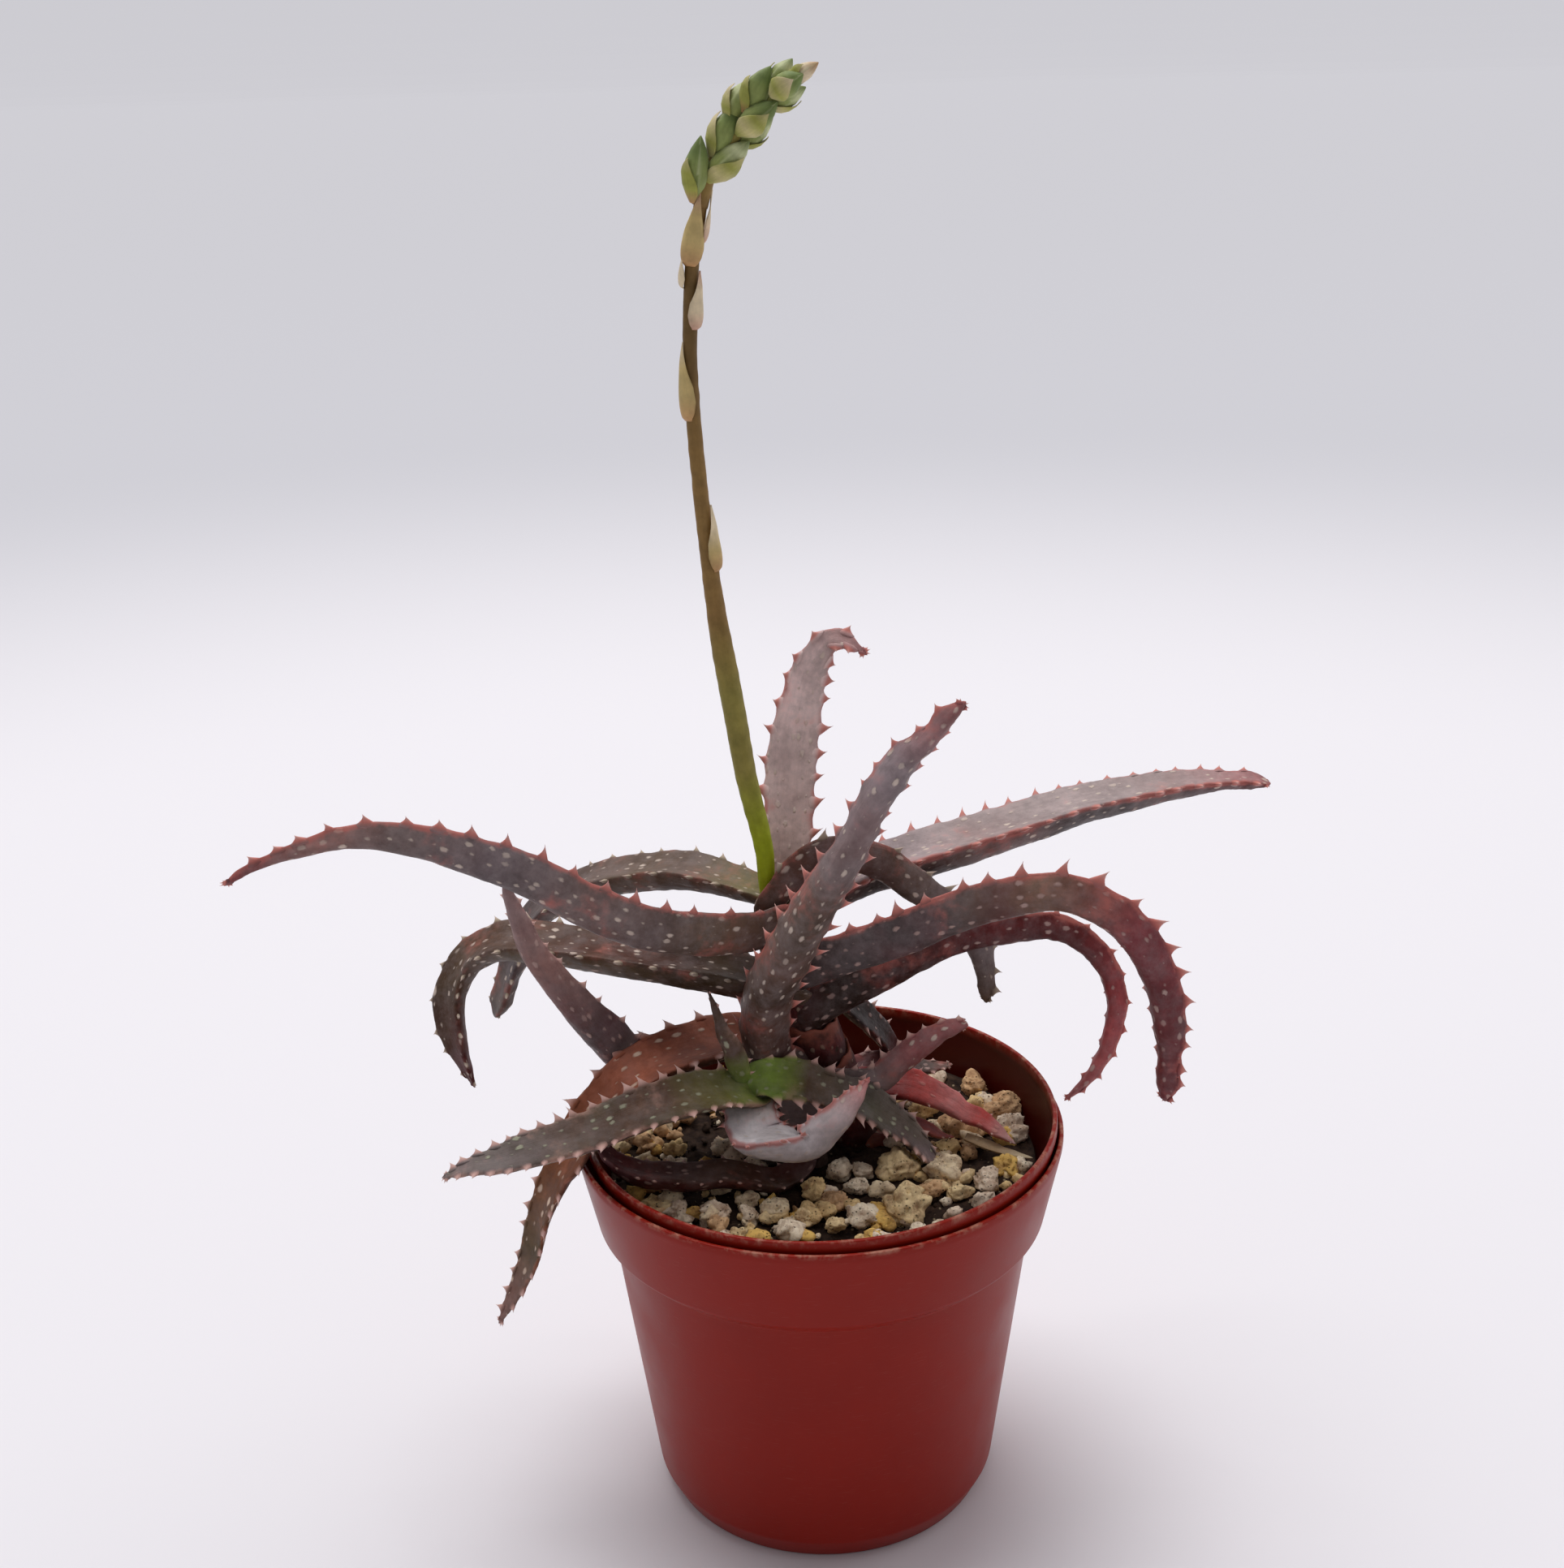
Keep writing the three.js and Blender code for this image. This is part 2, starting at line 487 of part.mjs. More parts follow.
// The mix fills the inner pot, with a low mound round the stems.
function pottingMix(others) {
  const floor = 1 + 0.4 - INNER_POT_HEIGHT;
  const top = SOIL_TOP - INNER_RIM_HEIGHT;
  const fill = innerLathe([
    [0, floor], [26.2, floor], [27.3, floor + 3.6], [34.4, -20.4], [37.1, -17.8], [38, -16.2],
    [39.6, top - 0.3], [39.4, top], [0, top],
  ]);
  const mound = lathe([
    [0, SOIL_TOP - 2], [MOUND_RADIUS, SOIL_TOP - 2], [MOUND_RADIUS, SOIL_TOP + 0.5],
    [MOUND_RADIUS - 4, MOUND_TOP], [0, MOUND_TOP],
  ], 14);
  return largestBody(cutBy(fill.add(mound), others));
}

// The largest pumice chips in the photo as x, y and size, then smaller ones by rule.
const CHIPS = [
  [14.5, -8, 8], [22.5, -9, 7], [15, -21, 8], [8, -23.5, 5], [-8.5, -21.5, 5.5], [-13, -17, 4],
  [-1, -15, 4.5],
  [-32, 3, 5], [-27, 1, 4.5], [35, 14, 8], [30.5, 22.5, 5.5], [36, 5, 7.5], [27, 7, 7.5], [30, -12, 6],
  [34, -8, 5], [19.5, 14, 5.5], [-19, -21, 5.5], [-26, -20, 5], [-3, -23.5, 4.5], [19, -15, 4.5], [2, -19, 5],
  [24, 0, 4.5],
];
const SMALL_CHIPS = 16;

function chip(x, y, size, k) {
  const radius = size / 2;
  const small = size < 4.5;
  const stone = small ? new THREE.OctahedronGeometry(radius) : new THREE.IcosahedronGeometry(radius);
  stone.deleteAttribute('normal');
  stone.deleteAttribute('uv');
  const whole = mergeVertices(stone, 1e-4);
  const place = whole.attributes.position;
  for (let i = 0; i < place.count; i += 1) {
    const swell = 0.82 + 0.36 * draw(i + 13 * k, 1);
    place.setXYZ(i, place.getX(i) * swell, place.getY(i) * swell, place.getZ(i) * swell * 0.8);
  }
  whole.rotateZ(6.28 * draw(k, 2));
  whole.translate(x, y, BED_TOP - 0.2 + 0.2 * size);
  return solidFrom(whole);
}

function pumiceBed(others) {
  const rise = BED_BOTTOM - INNER_RIM_HEIGHT;
  const top = BED_TOP - INNER_RIM_HEIGHT;
  const inside = MOUND_RADIUS - 0.4;
  const layer = innerLathe([[inside, rise], [39.6, rise], [39.8, top], [inside, top], [inside, rise]]);
  const well = innerLathe([[0, rise], [39.6, rise], [42, 0], [0, 0]]);
  const stones = CHIPS.map(([x, y, size], k) => chip(x, y, size, k));
  for (let k = 0; k < SMALL_CHIPS; k += 1) {
    const angle = 2.39996 * k;
    const reach = 17.5 + 20 * Math.sqrt((k + 0.5) / SMALL_CHIPS);
    const size = 3.4 + draw(k, 3);
    stones.push(chip(reach * Math.cos(angle), reach * Math.sin(angle), size, k + 50));
  }
  const mound = lathe([
    [0, SOIL_TOP - 3], [MOUND_RADIUS + GAP, SOIL_TOP - 3], [MOUND_RADIUS + GAP, SOIL_TOP + 0.7],
    [MOUND_RADIUS - 3.6, MOUND_TOP + GAP], [0, MOUND_TOP + GAP],
  ], 14);
  return largestBody(cutBy(joined([layer, ...stones]).intersect(well), [mound, ...others]));
}

// Stems, stalk and flower head

// A round tube along a route, closed at both ends, its radius read from a list.
function tube(route, radii, sides, rings, grow = 0) {
  const curve = routeOf(route);
  const points = [];
  for (let i = 0; i <= rings; i += 1) {
    const u = i / rings;
    const centre = curve.getPointAt(u);
    const along = curve.getTangentAt(u);
    const side = new THREE.Vector3(0, 1, 0).cross(along).normalize();
    const up = new THREE.Vector3().crossVectors(along, side);
    for (let k = 0; k < sides; k += 1) {
      const angle = (k / sides) * 2 * Math.PI;
      const reach = valueAt(radii, u) + grow;
      points.push(centre.clone().addScaledVector(side, reach * Math.cos(angle))
        .addScaledVector(up, reach * Math.sin(angle)).toArray());
    }
  }
  const caps = [0, 1].map((u) => {
    const step = curve.getTangentAt(u).multiplyScalar(u ? grow : -grow);
    return points.push(curve.getPointAt(u).add(step).toArray()) - 1;
  });
  const triangles = [];
  for (let k = 0; k < sides; k += 1) {
    const next = (k + 1) % sides;
    const last = rings * sides;
    triangles.push([caps[0], next, k], [caps[1], last + k, last + next]);
    for (let i = 0; i < rings; i += 1) {
      const [a, b] = [i * sides, (i + 1) * sides];
      triangles.push([a + k, a + next, b + next], [a + k, b + next, b + k]);
    }
  }
  return solidOf(points, triangles);
}

const STEM_ROUTE = [
  [7, 7, 56], [6.5, 6.5, 66], [3.5, 6, 76], [0, 6, 86], [-3, 5.5, 96], [-6, 4.5, 106], [-7.5, 4, 112],
];
const STEM_RADII = [3.5, 5, 5.2, 5, 4.4, 3.8, 2.6];
const PUP_ROUTE = [[1, -1, 57], [-1.5, -2, 66], [-7, -4, 74], [-12, -6, 80]];
const PUP_RADII = [2.6, 3.2, 3.2, 2.4];

// Old leaf bases clasp the main stem, each ending in a short toothed edge.
function mainStem() {
  const sheaths = [0.2, 0.36, 0.5, 0.64].map((start) => {
    const curve = routeOf(STEM_ROUTE);
    const [low, high] = [curve.getPointAt(start), curve.getPointAt(start + 0.16)];
    const middle = low.clone().lerp(high, 0.5);
    const radius = valueAt(STEM_RADII, start + 0.16);
    const flare = [radius + 0.2, radius + 0.7, radius + 1];
    return tube([low, middle, high].map((p) => p.toArray()), flare, 7, 2);
  });
  const deadLeaf = tube([[6, 5, 67.5], [9, 4, 68.6], [13, 2.5, 68.4]], [3.4, 2.8, 0.9], 6, 2);
  return joined([tube(STEM_ROUTE, STEM_RADII, 9, 7), ...sheaths, deadLeaf]);
}

const STALK_ROUTE = [
  [-8, 3.2, 114.5], [-8.4, 3, 119], [-8.9, 3, 127.6], [-11.4, 3, 139.9], [-13.1, 3, 152],
  [-15.4, 3, 168.1], [-16.7, 3, 180.9], [-17.6, 3, 192], [-18.2, 3, 202.8], [-18.4, 3, 213.5],
  [-18, 3, 221.3], [-17.4, 3, 228.9], [-16.2, 3, 235.2], [-15.3, 3, 239.6],
];
const STALK_RADII = [1.3, 1.6, 1.8, 1.9, 1.95, 1.9, 1.6, 1.4, 1.3, 1.25, 1.2, 1.2, 1.15, 1.1];
const RACHIS_ROUTE = [
  [-15.1, 3, 240.4], [-13.4, 3, 244], [-9.7, 2.4, 248], [-6, 1.8, 251.4], [-2.5, 0.8, 254.2], [0.8, 0, 256],
];
const RACHIS_RADII = [1.1, 1, 0.9, 0.8, 0.7, 0.5];

// Papery bracts on the stalk: root, tip, width and the way each one bulges.
const BRACTS = [
  { root: [-15.6, 2.6, 178.5], tip: [-14.6, 2.2, 188.6], wide: 2.4, out: [1, -0.4, 0] },
  { root: [-18.6, 2.6, 204.2], tip: [-19.3, 1.8, 214.9], wide: 2.8, out: [-0.8, -0.7, 0] },
  { root: [-17.4, 2.4, 219], tip: [-16, 1.6, 226.2], wide: 2.6, out: [0.9, -0.6, 0] },
  { root: [-18.1, 3.1, 225.2], tip: [-18.7, 3.1, 229.8], wide: 2, out: [-1, 0, 0] },
  { root: [-17.3, 2.4, 229], tip: [-16.6, 1.4, 237.6], wide: 2.8, out: [-0.3, -1, 0] },
  { root: [-16.4, 3.4, 232.6], tip: [-14.4, 3.8, 238.1], wide: 2.1, out: [1, 0.2, 0] },
];

function bract({ root, tip, wide, out }) {
  const [low, high] = [new THREE.Vector3(...root), new THREE.Vector3(...tip)];
  const bulge = new THREE.Vector3(...out).normalize();
  const middle = low.clone().lerp(high, 0.4).addScaledVector(bulge, 0.35);
  const leaf = {
    curve: routeOf([low, middle, high].map((p) => p.toArray())),
    rings: 3,
    plump: 0.25,
    width: [0.8 * wide, wide, 0.2 * wide],
    face: [out, out].map((way) => way.map((v) => -v)),
    fold: [0.6, 0.3],
  };
  return leafBody(leaf);
}

// Buds up the raceme: root, tip and width.
const BUDS = [
  [[-16.3, 2.4, 238.4], [-16, 1.2, 247.4], 3.8], [[-14.2, 2.4, 241.8], [-8.4, 1.4, 246.2], 3.7],
  [[-13, 3, 245.5], [-10, 2.8, 251.6], 3.9], [[-9.2, 3.6, 246.8], [-4.6, 3.4, 250], 3.4],
  [[-8.8, 1.4, 249], [-3.8, -0.2, 252], 3.7], [[-10.4, 3, 251], [-7.8, 3, 255], 3.5],
  [[-7.6, 1.8, 252.2], [-4.6, 1.2, 257], 3.6], [[-4.2, 1.8, 252.6], [0.6, 1.2, 254.4], 3],
  [[-3.4, -0.4, 254.4], [0.2, -1.6, 256], 3.4], [[-4, 2, 255], [-1.4, 2.2, 259], 2.9],
  [[-11.6, 4.4, 247.4], [-7.4, 5.4, 250.6], 3.3], [[-6.4, 3.6, 253.2], [-2.4, 4.2, 256.2], 3],
];

// A pointed egg shape from root to tip.
function egg(root, tip, wide) {
  const middle = root.map((v, k) => 0.55 * v + 0.45 * tip[k]);
  return tube([root, middle, tip], [0.25 * wide, 0.52 * wide, 0.44 * wide, 0.1 * wide], 5, 3);
}

function flowerHead() {
  const eggs = BUDS.map(([root, tip, wide]) => egg(root, tip, wide));
  const point = egg([-0.6, 0.2, 255.2], [3.1, -0.8, 257.4], 2.6);
  return largestBody(joined([tube(RACHIS_ROUTE, RACHIS_RADII, 6, 6), ...eggs, point]));
}

// Assembly

const plant = new THREE.Group();
plant.name = 'potted_aloe_hybrid';

const mainCutter = tube(STEM_ROUTE, STEM_RADII.map((r) => r + 1.2), 10, 8, GAP);
const pupCutter = tube(PUP_ROUTE, PUP_RADII, 8, 5, GAP);
const stemCutters = [mainCutter, pupCutter];
const stalk = joined([tube(STALK_ROUTE, STALK_RADII, 6, 12), ...BRACTS.map(bract)]);
const stalkFoot = tube(STALK_ROUTE.slice(0, 4), STALK_RADII.slice(0, 4), 8, 5, GAP);
const stalkTop = tube(STALK_ROUTE.slice(-3), STALK_RADII.slice(-3), 7, 3, GAP);

// Each leaf gives way to the stems and to the leaves before it. A spine that would touch
// another piece is left off.
const clearOfLeaves = LEAVES.map((leaf) => {
  leaf.curve = routeOf(leaf.route);
  return leafBody(leaf, GAP);
});
const bed = pumiceBed([...stemCutters, ...clearOfLeaves]);
const surroundings = [...stemCutters, stalkFoot, bed, outerPot(), innerPot()];
const placed = [];
LEAVES.forEach((leaf, i) => {
  const earlier = clearOfLeaves.slice(0, i);
  const body = largestBody(cutBy(leafBody(leaf), [...stemCutters, stalkFoot, ...earlier]));
  const others = [...surroundings, ...placed, ...clearOfLeaves.filter((_, k) => k !== i)];
  const free = leafSpines(leaf).filter((thorn) => (
    others.every((other) => !boxesMeet(thorn, other) || thorn.intersect(other).isEmpty())
  ));
  const whole = largestBody(joined([body, ...free]));
  placed.push(whole);
  plant.add(meshOf(leaf.name, whole, leaf.colour));
});

plant.add(meshOf('outer_pot', outerPot(), terracotta));
plant.add(meshOf('inner_pot', innerPot(), terracotta));
plant.add(meshOf('potting_mix', pottingMix([...stemCutters, ...clearOfLeaves]), peat));
plant.add(meshOf('pumice_chips', bed, pumice));
plant.add(meshOf('main_stem', mainStem(), darkRed));
plant.add(meshOf('pup_stem', largestBody(cutBy(tube(PUP_ROUTE, PUP_RADII, 8, 5), [mainCutter])), brownGreen));
plant.add(meshOf('flower_stalk', stalk, stalkGreen));
plant.add(meshOf('flower_head', largestBody(cutBy(flowerHead(), [stalkTop])), budGreen));

export default plant;
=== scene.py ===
"""Looks of a potted aloe hybrid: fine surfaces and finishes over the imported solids.

Laid out as an add-on and run as a script. Every piece is worked out in millimetres in the
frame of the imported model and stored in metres.
"""

from functools import partial

import bpy
import numpy as np
from mathutils import Matrix


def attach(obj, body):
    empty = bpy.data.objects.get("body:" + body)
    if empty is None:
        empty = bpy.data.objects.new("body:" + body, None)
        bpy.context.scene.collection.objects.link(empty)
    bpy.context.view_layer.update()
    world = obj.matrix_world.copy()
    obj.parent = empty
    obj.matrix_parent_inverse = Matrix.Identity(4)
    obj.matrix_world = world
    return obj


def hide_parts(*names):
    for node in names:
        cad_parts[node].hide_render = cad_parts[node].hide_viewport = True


bl_info = {
    "name": "Potted aloe hybrid",
    "version": (1, 0, 0),
    "blender": (4, 5, 0),
    "location": "3D View > Sidebar > Aloe",
    "description": "Builds the pots, growing medium, leaves, stems and flower of a potted aloe",
    "category": "Object",
}

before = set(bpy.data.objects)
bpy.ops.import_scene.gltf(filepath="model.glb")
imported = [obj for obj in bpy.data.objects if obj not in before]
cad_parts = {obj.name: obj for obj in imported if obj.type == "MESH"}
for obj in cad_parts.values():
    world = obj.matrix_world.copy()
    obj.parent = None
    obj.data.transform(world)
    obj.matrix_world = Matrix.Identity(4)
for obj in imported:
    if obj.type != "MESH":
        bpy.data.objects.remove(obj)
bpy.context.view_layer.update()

MM = 0.001
TAU = 2 * np.pi

# Colours of living and dried tissue and of the crumbs of mix, as under neutral light, save the pale
# tones marked below, which paint light.
TONES = {
    "peat": "#2a1a14",
    "umber": "#3d2820",
    "cocoa": "#52352d",
    "walnut": "#594133",
    "olive": "#614f3a",
    "iron": "#554a4a",
    "bark": "#67554c",
    "slate": "#705e5a",
    "sepia": "#7d6252",
    "plum": "#756769",
    "pewter": "#857573",
    "mauve": "#978789",
    "ash": "#a49391",
    "mist": "#c4b6b5",
    # painted light: frost, silver, blossom and petal are paler than the skin, for light on faces
    # that lie in shade
    "frost": "#e3d9c9",
    "silver": "#e6e0e2",
    "blossom": "#d0b4b0",
    "petal": "#ead0cc",
    "clay": "#9b736c",
    "garnet": "#5c2424",
    "wine": "#6f3436",
    "claret": "#8a4145",
    "rose": "#9e5d5d",
    # salmon is partly the pink of leaf tips and partly painted highlight, as streaks of gloss on
    # the bright red leaf
    "salmon": "#ce827e",
    "brick": "#a2484a",
    "cherry": "#cc4f48",
    "rust": "#9c5a44",
    "chestnut": "#7a4628",
    "ochre": "#88653c",
    "moss": "#756e39",
    "fresh": "#90ae42",
    "straw": "#b39a78",
    "coral": "#c8756a",
    "blush": "#d3a79c",
    "bone": "#ae9e8a",
    "stalk_green": "#9aa61c",
    "stalk_olive": "#8d8242",
    "stalk_brown": "#8a6c3e",
    "stalk_dark": "#6e5632",
    "paper": "#dccaa8",
    "paper_pink": "#c79c86",
    "bract_yellow": "#c3ac74",
    "bract_tan": "#b98f62",
    "husk_green": "#989a48",
    "husk": "#c0b680",
    "bud_base": "#98a05c",
    "bud_green": "#8c9858",
    "bud_tip": "#72834a",
    "bud_rim": "#c5cb9c",
    "thorn_point": "#e6cdc4",
    "wet_crumb": "#3a2a20",
}

# What the leaves of the main stem and of the offset share, in millimetres.
MAIN = {"plump": 0.45, "tooth": 2.3, "pitch": 5.0, "bare": 0.1, "fold": [0.55, 0.5, 0.4],
        "line": 0.85, "thorn": "coral"}
PUP = {"plump": 0.42, "tooth": 1.5, "pitch": 3.3, "bare": 0.12, "fold": [0.5, 0.4],
       "line": 0.6, "thorn": "blush"}

LEAF_ROW = 0.6  # between the rows of a leaf
TIP_LENGTH = 3.6  # in which a leaf closes at its tip
CROWDING = 1.15  # how much its rows and thorns crowd towards the tip
BELOW, ABOVE = 26, 20  # points across its lower and its upper face

# Leaf routes from root to tip, widths and the way the upper face looks at even steps, and
# the tones of the underside and the upper face from root to tip. The tones were matched to
# the leaves' colours as seen, so they carry some of the light and shade on them, with darker
# undersides in part; the plainest painted light is noted at its leaf.
LEAVES = {
    "leaf_front_upright": {
        **MAIN, "bare": 0.16, "blunt": 0.62, "line": 0.65,
        "route": [[-1, 5.5, 79.5], [-6, 2, 84], [-9.5, -2, 89.5], [-9, -7, 101.5],
            [-6, -12, 110.5], [-2.5, -16, 119], [1, -19, 126.5], [4.5, -22, 133.5],
            [7.5, -23, 139.5], [9.5, -24, 144.5], [12.5, -26, 150], [15, -27, 154],
            [17.5, -28, 156.5], [19.5, -28, 158.5], [21.5, -28, 161], [24.5, -28, 163.5]],
        "width": [9.6, 9.1, 8.8, 8.2, 7.1, 5.4, 5.3, 1.2],
        "face": [[0.1, 0.8, 0.4], [0.3, 0.9, 0.3], [0.1, 0.9, 0.5]],
        "slot": "grey_leaf",
        "under": "umber cocoa walnut bark bark mauve mauve rose",
        "upper": "bark walnut bark slate mauve rose",
    },
    "leaf_left_long": {
        **MAIN, "pitch": 5.2, "tooth": 2.7, "blunt": 0.45,
        "route": [[-3.5, 3, 111.5], [-7, 1.5, 114], [-12.5, -2.5, 114], [-21.5, -7.5, 116],
            [-30.5, -12, 119.5], [-39.5, -15, 125], [-48, -18, 131.5], [-56.5, -21, 136.5],
            [-65, -23, 140], [-74, -24, 141.5], [-83, -25, 140], [-92.5, -25, 136.5],
            [-97, -25, 133.5]],
        "width": [9, 10.8, 10.2, 9.4, 8.4, 6.4, 3.1, 0.5],
        "face": [[0.1, 0.55, 0.8], [0.1, 0.75, 0.65], [-0.2, 0.75, 0.65]],
        "slot": "grey_leaf",
        "under": "cocoa olive slate slate plum slate clay claret",
        "upper": "walnut slate slate plum clay wine",
    },
    "leaf_right_drooping": {
        **MAIN, "pitch": 4.7, "tooth": 3.0, "blunt": 0.75,
        "route": [[-6.5, 1.5, 103], [-2.5, -2, 105.5], [4, -5, 109.5], [14.5, -9, 115],
            [25.5, -12, 121], [36.5, -15, 125], [43.5, -17, 125.5], [51, -18, 121.5],
            [56, -18, 115], [59.5, -17, 106.5], [61, -16, 95.5], [61, -15, 84.5]],
        "width": [8.6, 9.1, 9.2, 8.8, 7.8, 6.8, 5.6, 0.8],
        "face": [[0, 0.7, 0.7], [0, 0.75, 0.65], [0.75, 0.65, 0]],
        "slot": "red_leaf",
        "under": "umber iron iron sepia claret wine wine",
        "upper": "umber iron iron clay claret wine wine",
    },
    "leaf_right_red_thin": {
        **MAIN, "tooth": 1.6, "blunt": 0.45,
        "route": [[-3.5, 5, 91.5], [-0.5, 4, 95], [5.5, 4, 99], [11.5, 4, 102], [18, 5, 105],
            [26, 7, 107.5], [37.5, 9, 108], [44, 10, 107.5], [50, 10, 104], [54, 9, 98.5],
            [55.5, 8, 92], [54, 6, 85], [50.5, 4, 79.5], [45.5, 2, 75.5]],
        "width": [8.8, 9.8, 8.7, 7.5, 6.2, 4.5, 3.2, 0.8],
        "face": [[0, 0.6, 0.8], [0.1, 0.7, 0.7], [0.7, 0.7, 0.1]],
        "slot": "red_leaf",
        "under": "umber peat garnet garnet brick rose",
        "upper": "umber umber garnet wine brick rose",
    },
    "leaf_left_drooping": {
        **MAIN, "tooth": 1.9, "blunt": 0.3, "line": 0.3, "thorn": "bone",
        "route": [[-2.5, 4, 98.5], [-6, 3, 100.5], [-12, 2, 102], [-17.5, 2, 103.5],
            [-27.5, 2, 105.5], [-37.5, 3, 107], [-47.5, 6, 107.5], [-55.5, 8, 107.5],
            [-59.5, 9, 106.5], [-63.5, 10, 104], [-66, 10, 101], [-68, 9, 96.5], [-68, 7, 91.5],
            [-66.5, 5, 86], [-64, 4, 79.5]],
        "width": [8.9, 10.3, 10, 9.6, 9.5, 7.9, 6.5, 1.1],
        "face": [[0, -0.1, 1], [0, -0.15, 1], [-0.8, -0.5, 0.3]],
        "slot": "brown_leaf",
        "under": "walnut peat olive olive cocoa garnet",
        "upper": "bark umber cocoa walnut umber garnet",
    },
    "leaf_right_long": {
        **MAIN, "pitch": 4.4, "tooth": 2.3, "blunt": 0.7,
        "route": [[-7, 4, 112.5], [-5.5, 5, 114], [2, 8, 115.5], [11, 12, 118.5],
            [22, 16, 120.5], [34, 20, 122.5], [50, 25, 125.5], [60.5, 28, 126.5],
            [71, 30, 127.5], [82, 31, 127.5], [87, 31, 126.5]],
        "width": [6.4, 8.8, 11.4, 10.8, 10, 8.6, 6.2, 1.2],
        "face": [[-0.2, -0.12, 1], [-0.1, -0.1, 1], [0, -0.16, 1]],
        "slot": "grey_leaf",
        "under": "umber peat cocoa iron iron wine",
        "upper": "olive mauve ash ash ash rose",
    },
    "leaf_right_curled": {
        **MAIN, "blunt": 0.72, "line": 0.35, "thorn": "bone",
        "route": [[-8, 2.5, 114.5], [-8, 2, 117], [-5.5, 2.5, 120], [-3, 3, 123],
            [1, 3.5, 125.5], [6.5, 4, 125.5], [12, 4.5, 123], [18.5, 7, 117], [24.5, 10.5, 111],
            [29.5, 13, 104], [31.5, 14, 97], [32, 14, 90]],
        "width": [5.2, 6.7, 8.2, 7.3, 6.7, 6.2, 5, 1.1],
        "face": [[-0.6, 0.6, 0.6], [-0.1, 0.6, 0.8], [0.75, 0.65, 0]],
        "slot": "grey_leaf",
        "under": "walnut cocoa bark mauve olive",
        "upper": "olive cocoa bark mauve olive",
    },
    "leaf_back_left_arched": {
        **MAIN, "tooth": 1.8, "blunt": 0.85, "line": 0.35, "thorn": "bone",
        "route": [[-7.5, 4, 113.5], [-7.5, 5, 116.5], [-16, 10, 118], [-24.5, 14, 118.5],
            [-33, 18, 116.5], [-41, 21, 114], [-47.5, 24, 110], [-53.5, 26, 105],
            [-56.5, 27, 99.5], [-59, 27, 94], [-63, 26, 83]],
        "width": [5.7, 7.2, 9.2, 9.1, 8.5, 7.3, 6.6, 1.2],
        "face": [[0, -0.2, 1], [0.1, -0.2, 1], [-0.8, -0.5, 0.4]],
        "slot": "brown_leaf",
        "under": "olive walnut bark slate iron",
        "upper": "moss bark bark iron iron",
    },
    "leaf_back_upright": {
        **MAIN, "pitch": 4.2, "tooth": 2.6, "blunt": 0.4, "line": 0.6,
        "fold": [0.6, 0.55, 0.4],
        "route": [[-6.5, 6, 114], [-5.5, 8, 118.5], [-4.5, 13, 128], [-4, 17, 136],
            [-2.5, 20, 144.5], [-0.5, 22, 152.5], [2, 22, 157.5], [4.5, 22, 159.5],
            [7.5, 21, 159], [10.5, 20, 157]],
        "width": [6.9, 7.8, 8.8, 8.9, 8.3, 6.9, 4.2, 0.6],
        "face": [[0.1, -0.9, 0.4], [0.1, -0.9, 0.4], [0.3, -0.8, 0.5]],
        "slot": "grey_leaf",
        "under": "bark slate slate plum rose",
        # painted light: the pale blossom and petal tones of the upper face stand for the light on
        # it
        "upper": "clay blossom petal petal petal rose",
    },
    "leaf_left_rising": {
        **MAIN, "tooth": 1.7, "blunt": 0.5, "line": 0.3, "thorn": "blush",
        "fold": [0.5, 0.4],
        "route": [[0, 7, 73], [-7, 5.5, 74.5], [-15.5, 4, 77], [-24, 3, 79], [-31, 1, 84],
            [-36, -1, 89.5], [-38.5, -3, 94], [-42.5, -5, 100], [-46.5, -6, 106.5],
            [-50, -6, 112], [-52, -6, 118], [-53.5, -6, 123.5], [-53.5, -6, 126]],
        "width": [7.1, 7.6, 8.4, 9.2, 8.7, 6.6, 4.6, 1.2],
        "face": [[0.3, 0.8, 0.3], [0.3, 0.9, 0.2]],
        "slot": "red_leaf",
        "under": "slate slate pewter iron clay ash",
        "upper": "slate plum pewter iron clay ash",
    },
    "leaf_over_rim": {
        **MAIN, "tooth": 2.2, "plump": 0.3, "blunt": 0.35, "line": 0.35, "thorn": "blush",
        "fold": [0.5, 0.45, 0.4],
        "route": [[-1, 7, 85.5], [-8.5, 6, 86], [-15.5, 4, 88.5], [-22.5, -1, 89.5],
            [-29, -6, 89.5], [-34, -10, 88], [-39, -12, 83.5], [-42.5, -13.5, 79],
            [-45, -14.5, 74.5], [-47, -14.5, 71.5], [-50, -14, 65], [-52, -13, 58.5],
            [-53.5, -13, 53], [-56.5, -12, 46], [-60.5, -11, 38]],
        "width": [9.2, 11, 10.8, 9.6, 8.2, 5.8, 4.4, 0.7],
        "face": [[-0.1, -0.4, 0.95], [-0.2, -0.4, 0.9], [-0.7, -0.7, 0.1]],
        "slot": "rust_leaf",
        "under": "umber walnut rust walnut ochre bark",
        "upper": "umber rust rust chestnut olive clay",
    },
    "leaf_low_back": {
        **MAIN, "tooth": 1.6, "blunt": 0.5, "line": 0.3, "thorn": "blush",
        "fold": [0.5, 0.4],
        "route": [[-0.5, 7, 97], [3.5, 9, 95.5], [7.5, 11.5, 90.5], [11.5, 15, 84.5],
            [14.5, 18.5, 78.5], [17, 20.5, 73]],
        "width": [6, 6.3, 5.9, 5.6, 5.1, 4.5, 3.2, 0.5],
        "face": [[0.3, -0.5, 0.9], [0.6, -0.6, 0.5]],
        "slot": "red_leaf",
        "under": "umber peat garnet wine",
        "upper": "umber peat peat wine",
    },
    "leaf_low_right": {
